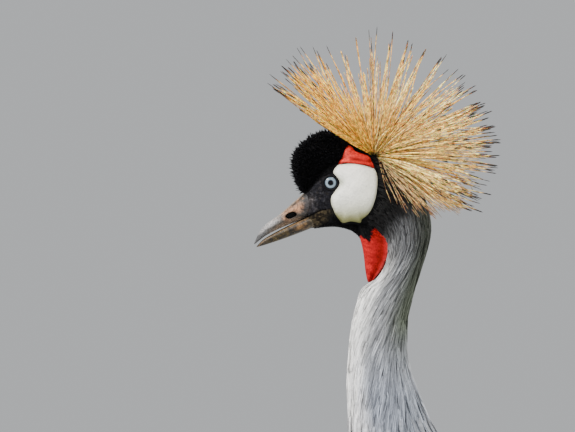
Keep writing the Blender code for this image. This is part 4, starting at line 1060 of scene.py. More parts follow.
def velvet_side(points):
    """Whether the side of the head wears velvet at points."""
    cheek = enlarged(CHEEK_OUTLINE, 1.03, shift=-0.6)
    lobe = enlarged(LOBE_OUTLINE, 1.05, LOBE_CENTRE)
    x, z = points[..., 0], points[..., 2]
    worn = (z > between(VELVET_EDGE, x)) & (np.hypot(x, z) > 7.4)
    return worn & ~inside(cheek, points) & ~inside(lobe, points)


def head_roots(draw, count, span, turn):
    """Roots on the head's skin: their places and angles, the points, and the ways out and back."""
    place = draw.uniform(span[0], span[1], count)
    angle = draw.uniform(turn[0], turn[1], count) * draw.choice((-1.0, 1.0), count)
    out = unit(trunk(place, angle, 1.0) - trunk(place, angle, -1.0))
    back = unit(trunk(place + 0.05, angle) - trunk(place - 0.05, angle))
    return place, angle, skin_points(place, angle)[0] - out * 0.3, out, back


def short_black(name, velvet, draw, roots, tip, worn):
    """Short black tufts from roots on the head's skin to tips, where they are worn."""
    place, angle, root, out, back = roots
    paths = np.stack((root, (root + tip) / 2 + out * 0.15, tip), axis=1)[worn]
    side = np.cross(out, back)[worn][:, None]
    widths = (0.34, 0.28, 0.0)
    places = np.stack((angle / 360.0 + 0.5, place / 8.0), axis=-1)[worn]
    add_tufts(name, velvet, paths, side, widths, widths, TUFT_BLACK, places, draw)


def make_brow(draw, velvet):
    """Short feathers that lie back over the side of the head."""
    roots = head_roots(draw, 9000, (0.0, 7.6), (84.0, 180.0))
    root, out, back = roots[2:]
    way = out * 0.5 + back * 0.9 + draw.normal(0.0, 0.2, root.shape)
    tip = root + way * draw.uniform(1.8, 3.0, (len(root), 1))
    short_black("brow_tufts", velvet, draw, roots, tip, velvet_side(root) & velvet_side(tip))


def make_chin(draw, velvet):
    """Short feathers that hang to the feathered line of the chin and throat."""
    roots = head_roots(draw, 5200, (0.3, 6.4), (0.0, 76.0))
    angle, root, out = roots[1:4]
    hang = root[:, 2] - between(CHIN_EDGE, root[:, 0] + 1.0) - 0.4
    hang = np.clip(hang, 0.2, 9.0) * smooth(80.0, 40.0, np.abs(angle)) + draw.uniform(0.1, 0.9, len(root))
    tip = root + np.array((0.15, 0.0, -1.0)) * hang[:, None] + out * 0.3 + draw.normal(0.0, 0.2, root.shape)
    low = np.abs(angle) < np.interp(root[:, 0], (-14.0, -8.0, 0.0, 8.0), (10.0, 20.0, 45.0, 76.0))
    cheek = [(x * 1.02, z * 1.03) for x, z in CHEEK_OUTLINE]
    worn = (root[:, 0] > -14.0) & (root[:, 0] < 25.5) & low & ~inside(cheek, root)
    short_black("chin_tufts", velvet, draw, roots, tip, worn)


def make_cushion_tufts(draw, velvet, count=15000):
    """Short dense tufts that stand out of the cushion, some of them longer."""
    place = draw.uniform(0.1, 9.9, count)
    angle = draw.uniform(0.0, 360.0, count)
    root = loft(CROWN, place, angle, -CROWN_DEPTH, CROWN_BOXY)
    out = unit(loft(CROWN, place, angle, 0.4, CROWN_BOXY) - root)
    ahead = loft(CROWN, place + 0.1, angle, 0.0, CROWN_BOXY)
    lie = unit(ahead - loft(CROWN, place - 0.1, angle, 0.0, CROWN_BOXY))
    length = draw.uniform(2.6, 3.9, (count, 1))
    spiky = draw.uniform(0.0, 1.0, (count, 1))
    bend = draw.normal(0.0, 0.16, (count, 3))
    tip = root + (out + lie * 0.25 + bend) * (length - 0.9 + 3.2 * spiky**7)
    lobe = enlarged(LOBE_OUTLINE, 1.04, LOBE_CENTRE)
    clear = ~(inside(lobe, root) | inside(lobe, tip))
    paths = np.stack((root, (root + tip) / 2 + out * 0.2, tip), axis=1)[clear]
    side = np.cross(out, lie)[clear][:, None]
    widths = (np.array((0.34, 0.26, 0.0)) * (0.9 + 0.9 * spiky**5))[clear]
    places = np.stack((angle / 360.0, place / 10.0), axis=-1)[clear]
    add_tufts("cushion_tufts", velvet, paths, side, widths, widths, TUFT_BLACK, places, draw)


def make_crown(draw, velvet):
    """The black cushion with its tufts, and the short black feathers of brow and chin."""
    place, angle = grid_over(CROWN, 90, 96)
    sunk = CROWN_DEPTH * smooth(0.0, 0.6, place) * smooth(10.0, 9.4, place)
    points = loft(CROWN, place, angle, -sunk, CROWN_BOXY)
    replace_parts(add_grid("cushion", points, BLACK, velvet), "crown")
    make_cushion_tufts(draw, velvet)
    make_brow(draw, velvet)
    make_chin(draw, velvet)
    return points


def clear_of(paths, trees, margin):
    """Paths pushed out of the shapes of search trees by a margin."""
    for path in paths:
        for k in range(1, len(path)):
            for tree in trees:
                near, normal, _, _ = tree.find_nearest(Vector(path[k]))
                out = (Vector(path[k]) - near).dot(normal)
                if out < margin:
                    path[k] += np.array(normal) * (margin - out)
    return paths


def crest_fan(draw):
    """The bristles' directions, how each is drawn into a bundle, and their spread across the head."""
    grid = np.linspace(CREST_FIRST, CREST_LAST, 400)
    weight = np.cumsum(between(CREST_DENSITY, grid))
    direction = np.interp(draw.uniform(0.0, 1.0, CREST_COUNT), weight / weight[-1], grid)
    centres = CREST_FIRST + np.cumsum(draw.uniform(3.5, 9.5, 40))
    bundle = centres[np.abs(direction[:, None] - centres[None]).argmin(axis=1)]
    bundled = draw.uniform(0.0, 1.0, CREST_COUNT) < 0.85
    gather = (bundle - direction) * np.where(bundled, draw.uniform(0.5, 1.0, CREST_COUNT), 0.0)
    gather = gather * (1.0 - 0.45 * smooth(128.0, 160.0, direction))
    sine = draw.uniform(-1.0, 1.0, CREST_COUNT) * math.sin(math.radians(CREST_SPREAD))
    spread = np.degrees(np.arcsin(sine))
    aside = np.sign(spread) * draw.uniform(16.0, 44.0, CREST_COUNT)
    return direction, gather, np.where(direction > CREST_DROOP, aside, spread)


def crest_paths(draw, direction, gather, spread, short, share):
    """The bristles' slightly bowed and sagging paths."""
    droop = np.where(direction > CREST_DROOP, 4.0, 0.0)[:, None]
    reach = between(CREST_REACH, direction) * (1.0 - 0.12 * (spread / CREST_SPREAD) ** 2) * (1.0 - short)
    a = np.radians(direction)[:, None]
    s = np.radians(spread)[:, None]
    r = reach[:, None] * share
    bow = draw.normal(0.0, 2.2, (CREST_COUNT, 1)) * np.sin(math.pi * share) ** 1.2
    bow = bow + draw.normal(0.0, 1.2, (CREST_COUNT, 1)) * share**2
    turn = a + bow / np.maximum(r, 12.0) + np.radians(gather)[:, None] * share**0.6
    level = np.abs(np.cos(a)) * np.cos(s) + np.abs(np.sin(s))
    x = CREST_ROOT[0] - r * np.cos(s) * np.cos(turn)
    y = r * np.sin(s) + np.sin(s) * 4.0 * (1.0 - share)
    z = CREST_ROOT[1] + r * np.cos(s) * np.sin(turn) - (5.5 * level + droop) * share**2
    return np.stack((x, y, z), axis=-1)


def twisted(draw, paths, share):
    """Sides that turn round each path as it goes."""
    twist = draw.uniform(0.0, math.tau, (len(paths), 1)) + share * draw.uniform(4.0, 9.0, (len(paths), 1))
    along = unit(np.gradient(paths, axis=1))
    across = unit(np.cross(along, TO_RIGHT))
    return across * np.cos(twist)[..., None] + np.cross(along, across) * np.sin(twist)[..., None]


def crest_tints(draw, direction, spread, short, share):
    """Straw, golden towards the front, brown at the root and black at the tip of long bristles; painted shade
    darkens the inner bristles and the drooping ones.
    """
    tone = draw.uniform(0.0, 1.0, CREST_COUNT)
    straw = mix((0.98, 0.56, 0.11), (1.0, 0.83, 0.36), tone)
    golden = mix((0.96, 0.44, 0.03), (1.0, 0.64, 0.10), tone)
    base = mix(straw, golden, smooth(120.0, 50.0, direction))
    shade = np.exp(-np.abs(draw.normal(0.0, 0.14, (CREST_COUNT, 1))))
    # Inner bristles darker than outer ones: painted shade between the layers.
    base = base * (0.84 + 0.16 * smooth(8.0, 32.0, np.abs(spread)))[:, None] * shade
    # The drooping bristles darker and browner: painted shade.
    base = mix(base, base * (0.60, 0.56, 0.62), smooth(198.0, 212.0, direction))
    base = mix(base, (0.36, 0.24, 0.13), 0.7 * smooth(214.0, 226.0, direction))
    base = mix(base, STRAW_ROOT, (tone > 0.92) * 0.8)
    inner = mix(STRAW_ROOT, base[:, None], smooth(0.02, 0.14, share)[None])
    tipped = np.where(direction > CREST_DROOP, 0.5, 1.0) * smooth(0.2, 0.06, short)
    return mix(inner, (0.006, 0.004, 0.003), smooth(0.905, 0.94, share) * tipped[:, None])


def make_crest(draw, trees):
    """The crest: stiff twisted bristles of flecked straw out of a small root."""
    straw = bristle_look()
    direction, gather, spread = crest_fan(draw)
    open_top = smooth(52.0, 70.0, direction) * smooth(148.0, 128.0, direction)
    short = (0.18 + 0.36 * open_top) * draw.uniform(0.0, 1.0, CREST_COUNT) ** (2.4 - 1.5 * open_top)
    share = np.concatenate((np.linspace(0.03, 0.9, 16), (0.935, 0.96, 0.985, 1.0)))
    paths = crest_paths(draw, direction, gather, spread, short, share)
    low = (direction > 186.0) | (direction < 52.0)
    paths[low] = clear_of(paths[low], trees, 1.2)
    side = twisted(draw, paths, share)
    thin = between(BRISTLE_WIDTHS, share)
    size = draw.uniform(0.76, 1.1, (CREST_COUNT, 1))
    widths = thin * size * np.interp(direction, (195.0, 218.0, 228.0), (1.0, 0.72, 0.55))[:, None]
    tints = crest_tints(draw, direction, spread, short, share)
    places = np.stack(((direction - 28.0) / 224.0, (spread + 54.0) / 108.0), axis=-1)
    thick = widths * 0.55
    made = add_tufts("crest_bristles", straw, paths, side, widths, thick, tints, places, draw, 4)
    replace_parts(made, "crest")
    around = np.linspace(0.0, math.tau, 32, endpoint=False)
    a, b = np.meshgrid(np.radians(np.linspace(178.0, 2.0, 24)), around, indexing="ij")
    flat = np.sin(a)
    x = CREST_ROOT[0] + 4.6 * flat * np.cos(b)
    ball = np.stack((x, 6.0 * flat * np.sin(b), CREST_ROOT[1] - 1.8 + 4.4 * np.cos(a)), axis=-1)
    add_grid("crest_root", ball, (0.10, 0.055, 0.02), straw, grain=ball[::-1])


def trunk_tufts(
    name, material, slot, draw, place, degrees, length, drift, lifts, widths, heights, shade,
    sides=4, cup=0.22, pull=0.0, rise=0.0, root=0.5,
):
    """Tufts that lie along the trunk, which drift sideways as they go."""
    t = np.linspace(0.0, 1.0, len(lifts))
    p = further(place[:, None], length[:, None] * t)
    d = degrees[:, None] + np.degrees(drift[:, None] * t ** (1.0 + pull) / girth(p))
    lift = np.asarray(lifts, float) + draw.normal(0.0, 0.12, (len(place), 1)) * t
    paths = trunk(p, d, lift + np.reshape(rise, (-1, 1)) * np.sin(math.pi * t))
    side = trunk(p, d + 1.0) - trunk(p, d - 1.0)
    # Each tuft darker towards its root, as dark as root asks: painted shade where it goes under the tufts
    # over it.
    painted_root_shade = np.interp(t, (0.0, 0.35, 1.0), (root, 1.0, 1.08))[:, None]
    tints = coat_colour(paths, d) * shade[:, None, None] * painted_root_shade
    size = draw.uniform(0.8, 1.2, (len(place), 1))
    places = np.stack(((degrees % 360.0) / 360.0, place / RUMP_END), axis=-1)
    wide = np.asarray(widths) * size
    tall = np.asarray(heights) * size
    add_tufts(name, material, paths, side, wide, tall, tints, places, draw, sides, cup)


def grey_feathers(name, blade, draw, place, degrees, length, drift, lifts, widths, cup=0.22):
    """Lanceolate feathers of the body, each with a shade of its own."""
    shade = np.exp(draw.normal(0.0, 0.16, len(place)))
    coat = (place, degrees, length, drift, lifts, widths, 0.35, shade)
    trunk_tufts(name, blade, "body_feather", draw, *coat, cup=cup)


def spread_over(draw, start, end, spacing):
    """Jittered roots over a length of the trunk, about this many millimetres apart."""
    places = []
    degrees = []
    arc, stop = np.interp((start, end), TRUNK_PLACES, TRUNK_ARC)
    while arc < stop:
        place = np.interp(arc, TRUNK_ARC, TRUNK_PLACES)
        count = max(int(math.tau * girth(place) / spacing), 4)
        turned = np.arange(count) + draw.uniform(0.0, 1.0) + draw.normal(0.0, 0.25, count)
        places.append(place + draw.normal(0.0, 0.25, count) * spacing / 22.0)
        degrees.append(turned * 360.0 / count)
        arc += spacing
    turned = (np.concatenate(degrees) + 180.0) % 360.0 - 180.0
    return np.clip(np.concatenate(places), start - 0.3, RUMP_END), turned


def flow_at(place, degrees):
    """How strongly the neck's coat drifts to the front as it goes down."""
    return -np.sign(degrees) * between(NECK_FLOW, place) * np.abs(np.sin(np.radians(degrees))) ** 1.5


def lock_roots(draw, start, end, spacing):
    """Where a stretch's locks grow: not on the cheek, the lobe, the throat or the crest's foot."""
    place, degrees = spread_over(draw, start, end, spacing)
    root = trunk(place, degrees)
    bare = inside(enlarged(CHEEK_OUTLINE, 1.03, shift=-0.5), root)
    bare |= inside(enlarged(LOBE_OUTLINE, 1.06, LOBE_CENTRE), root)
    bare |= (place < 11.5) & (np.abs(degrees) < 26.0)
    bare |= (place < 8.0) & (np.abs(degrees) > 168.0)
    return place[~bare], degrees[~bare]


def make_locks(draw, strand, name, slot, start, end, spacing, per):
    """One stretch of the neck's coat: strands drawn together into pointed locks, this many each."""
    place, degrees = lock_roots(draw, start, end, spacing)
    count = len(place)
    shade = np.exp(draw.normal(0.0, 0.16, count)) * (1.0 + 0.22 * smooth(14.2, 16.6, place))
    aside = draw.normal(0.0, 1.0, (count, per)) * spacing * 0.42
    root = further(place[:, None], draw.uniform(-1.0, 1.0, (count, per)) * spacing * 0.7)
    angle = degrees[:, None] + np.degrees(aside / girth(place)[:, None])
    length = draw.uniform(0.85, 1.15, (count, 1)) * draw.uniform(0.85, 1.05, (count, per))
    length = length * between(LOCK_REACH, place)[:, None]
    flow = flow_at(place, degrees) + draw.normal(0.0, 0.035, count)
    edge = np.clip(np.abs(aside) / (spacing * 0.84), 0.0, 1.0)
    # Strands darker towards the lock's edges: painted shade along the lines between locks.
    tone = shade[:, None] * (1.18 - 0.95 * edge**1.5) * np.exp(draw.normal(0.0, 0.19, (count, per)))
    tone = tone.ravel() * np.where(draw.uniform(0.0, 1.0, count * per) < 0.1, 0.55, 1.03)
    full = 2.3 * hump(place - 11.6, 0.4) - 1.3 * smooth(12.4, 13.4, place)
    full = full * smooth(75.0, 20.0, np.abs(degrees))
    rise = draw.normal(0.0, 0.3, (count, 1)) + 0.55 * (1.0 - 2.0 * edge**2) + full[:, None]
    drift = flow[:, None] * length - aside * 0.72
    depth = -between(SKIN_DEPTH, start)
    lifts = (depth - 0.3, depth * 0.35, -0.1, 0.1, -0.35)
    widths = np.array((0.32, 0.46, 0.44, 0.34, 0.0))
    coat = (root.ravel(), angle.ravel(), length.ravel(), drift.ravel(), lifts, widths, widths * 0.6, tone)
    trunk_tufts(name, strand, slot, draw, *coat, sides=3, cup=0.0, pull=0.15, rise=rise.ravel())


def make_neck(draw):
    """The neck's coat of locks, and the hackles round its root."""
    strand = strand_look()
    for name, slot, start, end, spacing, per in NECK_COATS:
        make_locks(draw, strand, name, slot, start, end, spacing, per)
    place, degrees = spread_over(draw, 17.2, 20.6, 6.5)
    count = len(place)
    blade = blade_look()
    length = draw.uniform(42.0, 62.0, count)
    drift = flow_at(place, degrees) * length + draw.normal(0.0, 1.6, count)
    shade = 0.86 * np.exp(draw.normal(0.0, 0.2, count))
    lifts = (-3.6, -1.6, 0.2, 1.0, 1.2, 0.8, 0.2)
    widths = (0.8, 1.9, 2.6, 2.6, 2.0, 1.1, 0.0)
    coat = (place, degrees, length, drift, lifts, widths, 0.3, shade)
    trunk_tufts("hackles", blade, "neck_feather", draw, *coat, cup=0.25, root=0.9)
    return blade


def make_body(draw, blade):
    """The grey lanceolate feathers of the torso."""
    place, degrees = spread_over(draw, 19.6, 27.2, 11.0)
    length = draw.uniform(42.0, 58.0, len(place))
    drift = draw.normal(0.0, 2.2, len(place))
    lifts = (-4.6, -2.2, -0.4, 0.7, 1.1, 1.0, 0.4)
    widths = (1.6, 4.4, 6.2, 6.4, 4.8, 2.4, 0.0)
    grey_feathers("body_feathers", blade, draw, place, degrees, length, drift, lifts, widths)


WING_U = np.linspace(0.0, 1.0, 101)
WING_V = np.linspace(-0.12, 1.18, 66)


def wing_grid(trees):
    """The folded wing's outer sheet on the bird's right side, with its normals."""
    u, v = np.meshgrid(WING_U, WING_V, indexing="ij")
    top = rows_at(WING_TOP, u * WING_LAST)
    points = top + (rows_at(WING_BOTTOM, u * WING_LAST) - top) * v[..., None]
    points[..., 1] += WING_BULGE * np.sin(math.pi * np.clip(v, 0.0, 1.0))
    for point in points.reshape(-1, 3):
        out = point[1] - side_of(trees, point[0], point[2], 1.0) - 3.0 - WING_STAND
        point[1] -= 0.5 * (out - math.hypot(out, 8.0))
    normals = unit(np.cross(np.gradient(points, axis=0), np.gradient(points, axis=1)))
    return points, normals * np.sign(normals[..., 1:2])


def sheet_at(grid, u, v, lift, side):
    """Points over the wing's sheet, on the side asked for."""
    a = np.clip(u, 0.0, 0.9999) * (len(WING_U) - 1)
    b = np.clip((v - WING_V[0]) / (WING_V[-1] - WING_V[0]), 0.0, 0.9999) * (len(WING_V) - 1)
    i, j = a.astype(int), b.astype(int)
    s, t = (a - i)[..., None], (b - j)[..., None]

    def blend(field):
        near = field[i, j] * (1 - s) + field[i + 1, j] * s
        far = field[i, j + 1] * (1 - s) + field[i + 1, j + 1] * s
        return near * (1 - t) + far * t

    found = blend(grid[0]) + unit(blend(grid[1])) * np.asarray(lift, float)[..., None]
    found[..., 1] *= side
    return found


def wing_vanes(name, blade, grid, side, draw, roots, tips, lifts, widths, tints, height=0.4):
    """Vanes over the wing's sheet, from roots to tips given as places along and down it."""
    t = np.linspace(0.0, 1.0, len(widths))
    u = roots[0][:, None] + (tips[0] - roots[0])[:, None] * t
    v = roots[1][:, None] + (tips[1] - roots[1])[:, None] * t
    paths = sheet_at(grid, u, v, lifts, side)
    across = sheet_at(grid, u, v + 0.01, lifts, side) - sheet_at(grid, u, v - 0.01, lifts, side)
    wide = np.asarray(widths) * draw.uniform(0.88, 1.12, (len(u), 1))
    places = np.stack((roots[0], (roots[1] + 0.1) / 1.25), axis=-1)
    add_tufts(name, blade, paths, -side * across, wide, height, tints, places, draw, 4, 0.2)


def vane_tints(draw, colour, count, steps, spread=0.12, tip=1.0):
    """Colours of vanes, a little different from one to the next and brighter towards the tip."""
    tone = np.exp(draw.normal(0.0, spread, (count, 1, 1)))
    return np.asarray(colour) * tone * np.linspace(0.85, tip, steps)[:, None]


def make_wing_pad(word, side, grid, blade):
    """The wing's body under its feathers: an outer sheet and back along an inner one."""
    down = np.concatenate((np.linspace(0.04, 0.92, 40), np.linspace(0.89, 0.07, 30)))
    u, v = np.meshgrid(np.linspace(0.035, 0.6, 60), down, indexing="ij")
    outer = np.arange(len(down)) < 40
    base = sheet_at(grid, u, v, np.where(outer, -1.5, -8.5), side)
    if side < 0:
        base = base[:, ::-1]
    tint = mix((0.70, 0.69, 0.66), (0.16, 0.04, 0.025), smooth(0.44, 0.54, u))
    # The inner sheet grey all over: painted shade inside the wing; the outer one grey along its top.
    tint = mix(tint, WING_GREY, np.where(outer, smooth(0.26, 0.14, v), 1.0))
    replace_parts(add_grid(f"wing_pad_{word}", base, tint, blade), f"wing_{word}")


def make_primaries(word, side, grid, blade, draw):
    """The long black feathers of the wing's tip."""
    s = np.linspace(0.0, 1.0, 9)
    roots = (np.full(9, 0.5), 0.60 + 0.28 * s)
    tips = (0.995 - 0.10 * s, 0.50 + 0.43 * s)
    lifts = -5.4 - 1.2 * s[:, None]
    widths = (3.0, 6.0, 7.4, 7.8, 7.8, 7.2, 6.0, 3.6, 0.0)
    tints = vane_tints(draw, (0.012, 0.012, 0.014), 9, 9)
    wing_vanes(f"primaries_{word}", blade, grid, side, draw, roots, tips, lifts, widths, tints)


def make_secondaries(word, side, grid, blade, draw):
    """The chestnut feathers behind the coverts."""
    s = np.linspace(0.0, 1.0, 15)
    roots = (np.full(15, 0.44), 0.08 + 0.80 * s)
    tips = (0.985 - 0.23 * s, 0.12 + 0.83 * s)
    lifts = np.linspace(-3.4, -1.4, 9) + 1.8 * (1.0 - s)[:, None]
    widths = (4.0, 9.0, 11.5, 12.5, 12.5, 11.5, 9.0, 5.0, 0.0)
    tints = vane_tints(draw, (0.17, 0.042, 0.022), 15, 9, 0.16)
    wing_vanes(f"secondaries_{word}", blade, grid, side, draw, roots, tips, lifts, widths, tints)


def make_plumes(word, side, grid, blade, draw, count=150):
    """The narrow straw plumes that hang over the wing's rear."""
    start = draw.uniform(0.34, 0.50, count)
    down = draw.uniform(0.0, 1.0, count)
    end = start + draw.uniform(0.20, 0.34, count) * (1.1 - 0.35 * down)
    tips = (end, down + draw.uniform(0.02, 0.10, count))
    lifts = draw.uniform(0.4, 3.4, (count, 1)) + np.linspace(-2.0, 1.2, 8)
    widths = (1.0, 2.2, 2.8, 2.8, 2.4, 1.8, 1.0, 0.0)
    tints = vane_tints(draw, (0.62, 0.46, 0.20), count, 8, 0.2, 1.15)
    wing_vanes(f"plumes_{word}", blade, grid, side, draw, (start, down), tips, lifts, widths, tints, 0.3)


def make_coverts(word, side, grid, blade, draw):
    """Rows of white coverts, grey along the wing's upper edge."""
    start, down, reach = [], [], []
    for row, place in enumerate(np.arange(0.0, 0.45, 0.03)):
        depth = np.linalg.norm(rows_at(WING_TOP, place * WING_LAST) - rows_at(WING_BOTTOM, place * WING_LAST))
        number = int(depth / 8.0)
        level = (np.arange(number) + 0.5 * (row % 2)) / number * 1.06 - 0.02
        start.append(place - 0.01 + draw.normal(0.0, 0.005, number))
        down.append(level + draw.normal(0.0, 0.008, number))
        reach.append(np.full(number, 0.075 + 0.10 * place))
    start = np.clip(np.concatenate(start), 0.0, 1.0)
    down = np.concatenate(down)
    count = len(start)
    tips = (start + np.concatenate(reach), down + draw.normal(0.02, 0.01, count))
    lifts = np.array((-1.4, 0.2, 1.3, 1.9, 2.0, 1.5)) + draw.uniform(-0.2, 0.5, (count, 1))
    widths = (2.4, 5.6, 7.0, 6.8, 4.6, 0.0)
    white = vane_tints(draw, (0.80, 0.79, 0.75), count, 6, 0.06)
    upper = smooth(0.24, 0.10, down + draw.normal(0.0, 0.03, count))
    tints = mix(white, BODY_GREY, upper[:, None])
    wing_vanes(f"coverts_{word}", blade, grid, side, draw, (start, down), tips, lifts, widths, tints)


def make_wings(draw, trees, blade):
    """The folded wings."""
    grid = wing_grid(trees)
    for word, side in SIDES:
        make_wing_pad(word, side, grid, blade)
        make_primaries(word, side, grid, blade, draw)
        make_secondaries(word, side, grid, blade, draw)
        make_plumes(word, side, grid, blade, draw)
        make_coverts(word, side, grid, blade, draw)


def tail_at(along, across, lift):
    """Points over the tail, which is roofed a little across."""
    start = np.array((TAIL_ROOT[0], 0.0, TAIL_ROOT[1]))
    way = np.array((TAIL_TIP[0], 0.0, TAIL_TIP[1])) - start
    up = unit(np.cross(way, TO_RIGHT))
    up = up * np.sign(up[2])
    centre = start + way * along[..., None]
    roofed = up * (lift - across * across / 90.0)[..., None]
    return centre + TO_RIGHT * across[..., None] + roofed


def make_tail_pad(blade):
    """The tail's body under its feathers."""
    along, k = np.meshgrid(np.linspace(0.0, 0.45, 30), np.arange(40), indexing="ij")
    over = k < 20
    across = np.where(over, -1.0 + 2.0 * k / 19.0, 1.0 - 2.0 * (k - 20) / 19.0) * (12.0 + 4.0 * along)
    base = tail_at(along, across, np.where(over, 0.5, -9.0))
    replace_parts(add_grid("tail_pad", base, (0.02, 0.02, 0.024), blade), "tail")


def make_tail_vanes(draw, blade):
    """The black feathers of the tail, the middle ones longest and on top."""
    place = np.outer(np.linspace(1.0, 0.1, 6), (1.0, -1.0)).ravel()
    t = np.array((0.0, 0.16, 0.32, 0.5, 0.68, 0.84, 0.93, 0.975, 1.0))
    rows = 0.22 + (0.78 - 0.15 * place[:, None] ** 2) * t
    lift = 1.4 - np.abs(place)[:, None] * (8.0 + 9.0 * t)
    paths = tail_at(rows, place[:, None] * (7.0 + 12.0 * t), lift)
    across = TO_RIGHT + np.array((-0.55, 0.0, -0.65)) * place[:, None, None]
    widths = (4.0, 6.4, 7.8, 8.6, 8.8, 8.4, 6.8, 4.4, 0.0)
    tints = np.array((0.014, 0.014, 0.017)) * np.exp(draw.normal(0.0, 0.2, (len(place), 1, 1)))
    places = np.stack((0.5 + 0.45 * place, np.full(len(place), 0.5)), axis=-1)
    add_tufts("tail_vanes", blade, paths, across, widths, 0.4, tints, places, draw, 4, 0.15)


def make_tail_coverts(draw, blade, count=90):
    """Grey coverts over and under the tail's root."""
    t = np.linspace(0.0, 1.0, 9)
    place = draw.uniform(-1.0, 1.0, count)
    start = draw.uniform(-0.06, 0.36, count)
    rows = start[:, None] + draw.uniform(0.30, 0.42, (count, 1)) * t
    under = (draw.uniform(0.0, 1.0, count) < 0.4)[:, None]
    swell = 2.0 * np.sin(math.pi * t)
    lift = np.where(under, -13.0 - swell, 3.0 + swell - 6.0 * place[:, None] ** 2)
    paths = tail_at(rows, place[:, None] * (10.0 + 5.0 * t), lift)
    widths = (2.0, 4.0, 5.0, 5.4, 5.2, 4.6, 3.4, 1.8, 0.0)
    tints = mix((0.12, 0.125, 0.145), (0.03, 0.03, 0.036), smooth(0.0, 0.3, start))[:, None]
    places = np.stack((0.5 + 0.45 * place, 0.1 + start), axis=-1)
    add_tufts("tail_coverts", blade, paths, TO_RIGHT, widths, 0.35, tints, places, draw, 4, 0.2)


def make_tail(draw, blade):
    """The black tail, with its coverts over the root."""
    make_tail_pad(blade)
    make_tail_vanes(draw, blade)
    make_tail_coverts(draw, blade)


def tube_at(rows, place, degrees, lift, upright=TO_TAIL):
    """Points over a limb through rows of x, y, z and two radii, along upright and across it."""
    place, degrees, lift = np.broadcast_arrays(place, degrees, np.asarray(lift, float))
    row = rows_at(rows, place)
    along = unit(rows_at(rows, place + 0.05)[..., :3] - rows_at(rows, place - 0.05)[..., :3])
    first = unit(upright - along * np.sum(upright * along, axis=-1, keepdims=True))
    second = np.cross(along, first)
    angle = np.radians(degrees)
    wide = ((row[..., 3] + lift) * np.cos(angle))[..., None]
    deep = ((row[..., 4] + lift) * np.sin(angle))[..., None]
    return row[..., :3] + first * wide + second * deep


def leg_rows(rows, side):
    """Rows of a leg on one side, moved by the stance's step towards the foot."""
    moved = np.array(rows, float)
    moved[:, 0] += side * FOOT_STEP * np.clip((-560.0 - moved[:, 2]) / 340.0, 0.0, 1.0)
    moved[:, 1] *= side
    return moved


def scaled_limb(name, rows, rings, scale, period=5.0, sides=36, upright=TO_TAIL, front=-1.0):
    """A scaly limb: broad scutes on its front, and a fine net of scales round the rest."""
    place, angle = grid_over(rows, rings, sides)
    arc = arc_length(tube_at(rows, place, angle, 0.0, upright).mean(axis=1))[:, None]
    facing = smooth(0.1, 0.6, np.cos(np.radians(angle)) * front)
    saw = (arc / period) % 1.0
    ridge = 0.28 * (np.minimum(saw * 1.3, 1.0) - 0.9 * smooth(0.86, 1.0, saw))
    net = 0.10 * noise(np.stack(np.broadcast_arrays(arc / 1.6, angle / 18.0, 0.0), axis=-1), 1.0, 31)
    points = tube_at(rows, place, angle, facing * ridge + (1.0 - facing) * net, upright)
    points[..., 2] = np.maximum(points[..., 2], FLOOR + 0.15)
    tone = 1.0 + 0.5 * facing * (saw - 0.4) + (1.0 - facing) * 3.0 * net
    return add_grid(name, points, np.array((0.026, 0.026, 0.029)) * tone[..., None], scale)


def make_thigh(draw, blade, word, side, count=760):
    """A thigh's skin and its feathers, which grow small and dark towards the shank."""
    place, angle = grid_over(THIGH, 50, 48)
    lift = -2.6 * smooth(4.4, 3.0, place) - 1.6 * smooth(3.0, 4.0, place)
    skin = tube_at(leg_rows(THIGH, side), place, angle, lift)
    tint = mix((0.07, 0.075, 0.09), (0.03, 0.03, 0.036), smooth(2.0, 4.0, place))
    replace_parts(add_grid(f"thigh_skin_{word}", skin, tint, blade), f"thigh_{word}")
    coat = leg_rows(THIGH_COAT, side)
    root = 4.5 * draw.uniform(0.0, 1.0, count) ** 0.8
    turn = draw.uniform(0.0, 360.0, count)
    rows = root[:, None] + draw.uniform(0.55, 0.8, (count, 1)) * np.linspace(0.0, 1.0, 6)
    flat = np.interp(root, (2.6, 3.6, 4.6), (1.0, 0.5, 0.2))[:, None]
    paths = tube_at(coat, rows, turn[:, None], np.array((-2.8, -1.4, -0.3, 0.4, 0.5, 0.1)) * flat)
    across = tube_at(coat, rows, turn[:, None] + 3.0, 0.0) - tube_at(coat, rows, turn[:, None] - 3.0, 0.0)
    size = np.interp(root, (0.0, 2.5, 3.6, 4.6), (1.0, 0.7, 0.42, 0.26))[:, None]
    widths = np.array((1.2, 3.0, 3.8, 3.4, 2.0, 0.0)) * size
    shade = np.exp(draw.normal(0.0, 0.2, (count, 1, 1)))
    tints = mix(WING_GREY, (0.045, 0.045, 0.055), smooth(2.0, 4.4, root))[:, None] * shade
    places = np.stack((turn / 360.0, root / 4.8), axis=-1)
    name = f"thigh_feathers_{word}"
    add_tufts(name, blade, paths, across, widths, 0.3, tints, places, draw, 4, 0.2)


def make_claw(name, start, way, radius, horn):
    """A tapered claw that bends down to the floor."""
    claw = []
    for t in np.linspace(0.0, 1.0, 9):
        r = radius * 0.86 * (1.0 - t) ** 0.8 + 0.3
        x, y, _ = start + way * ((CLAW_LENGTH + 1.0) * t - 2.5)
        claw.append((x, y, max(start[2] + 0.5 - 2.6 * t * t, FLOOR + r + 0.3), r, r * 0.8))
    place, around = grid_over(claw, 40, 24)
    tint = mix((0.05, 0.045, 0.042), (0.02, 0.018, 0.018), smooth(3.0, 8.0, place))
    return add_grid(name, tube_at(claw, place, around, 0.0, UPWARD), tint, horn)


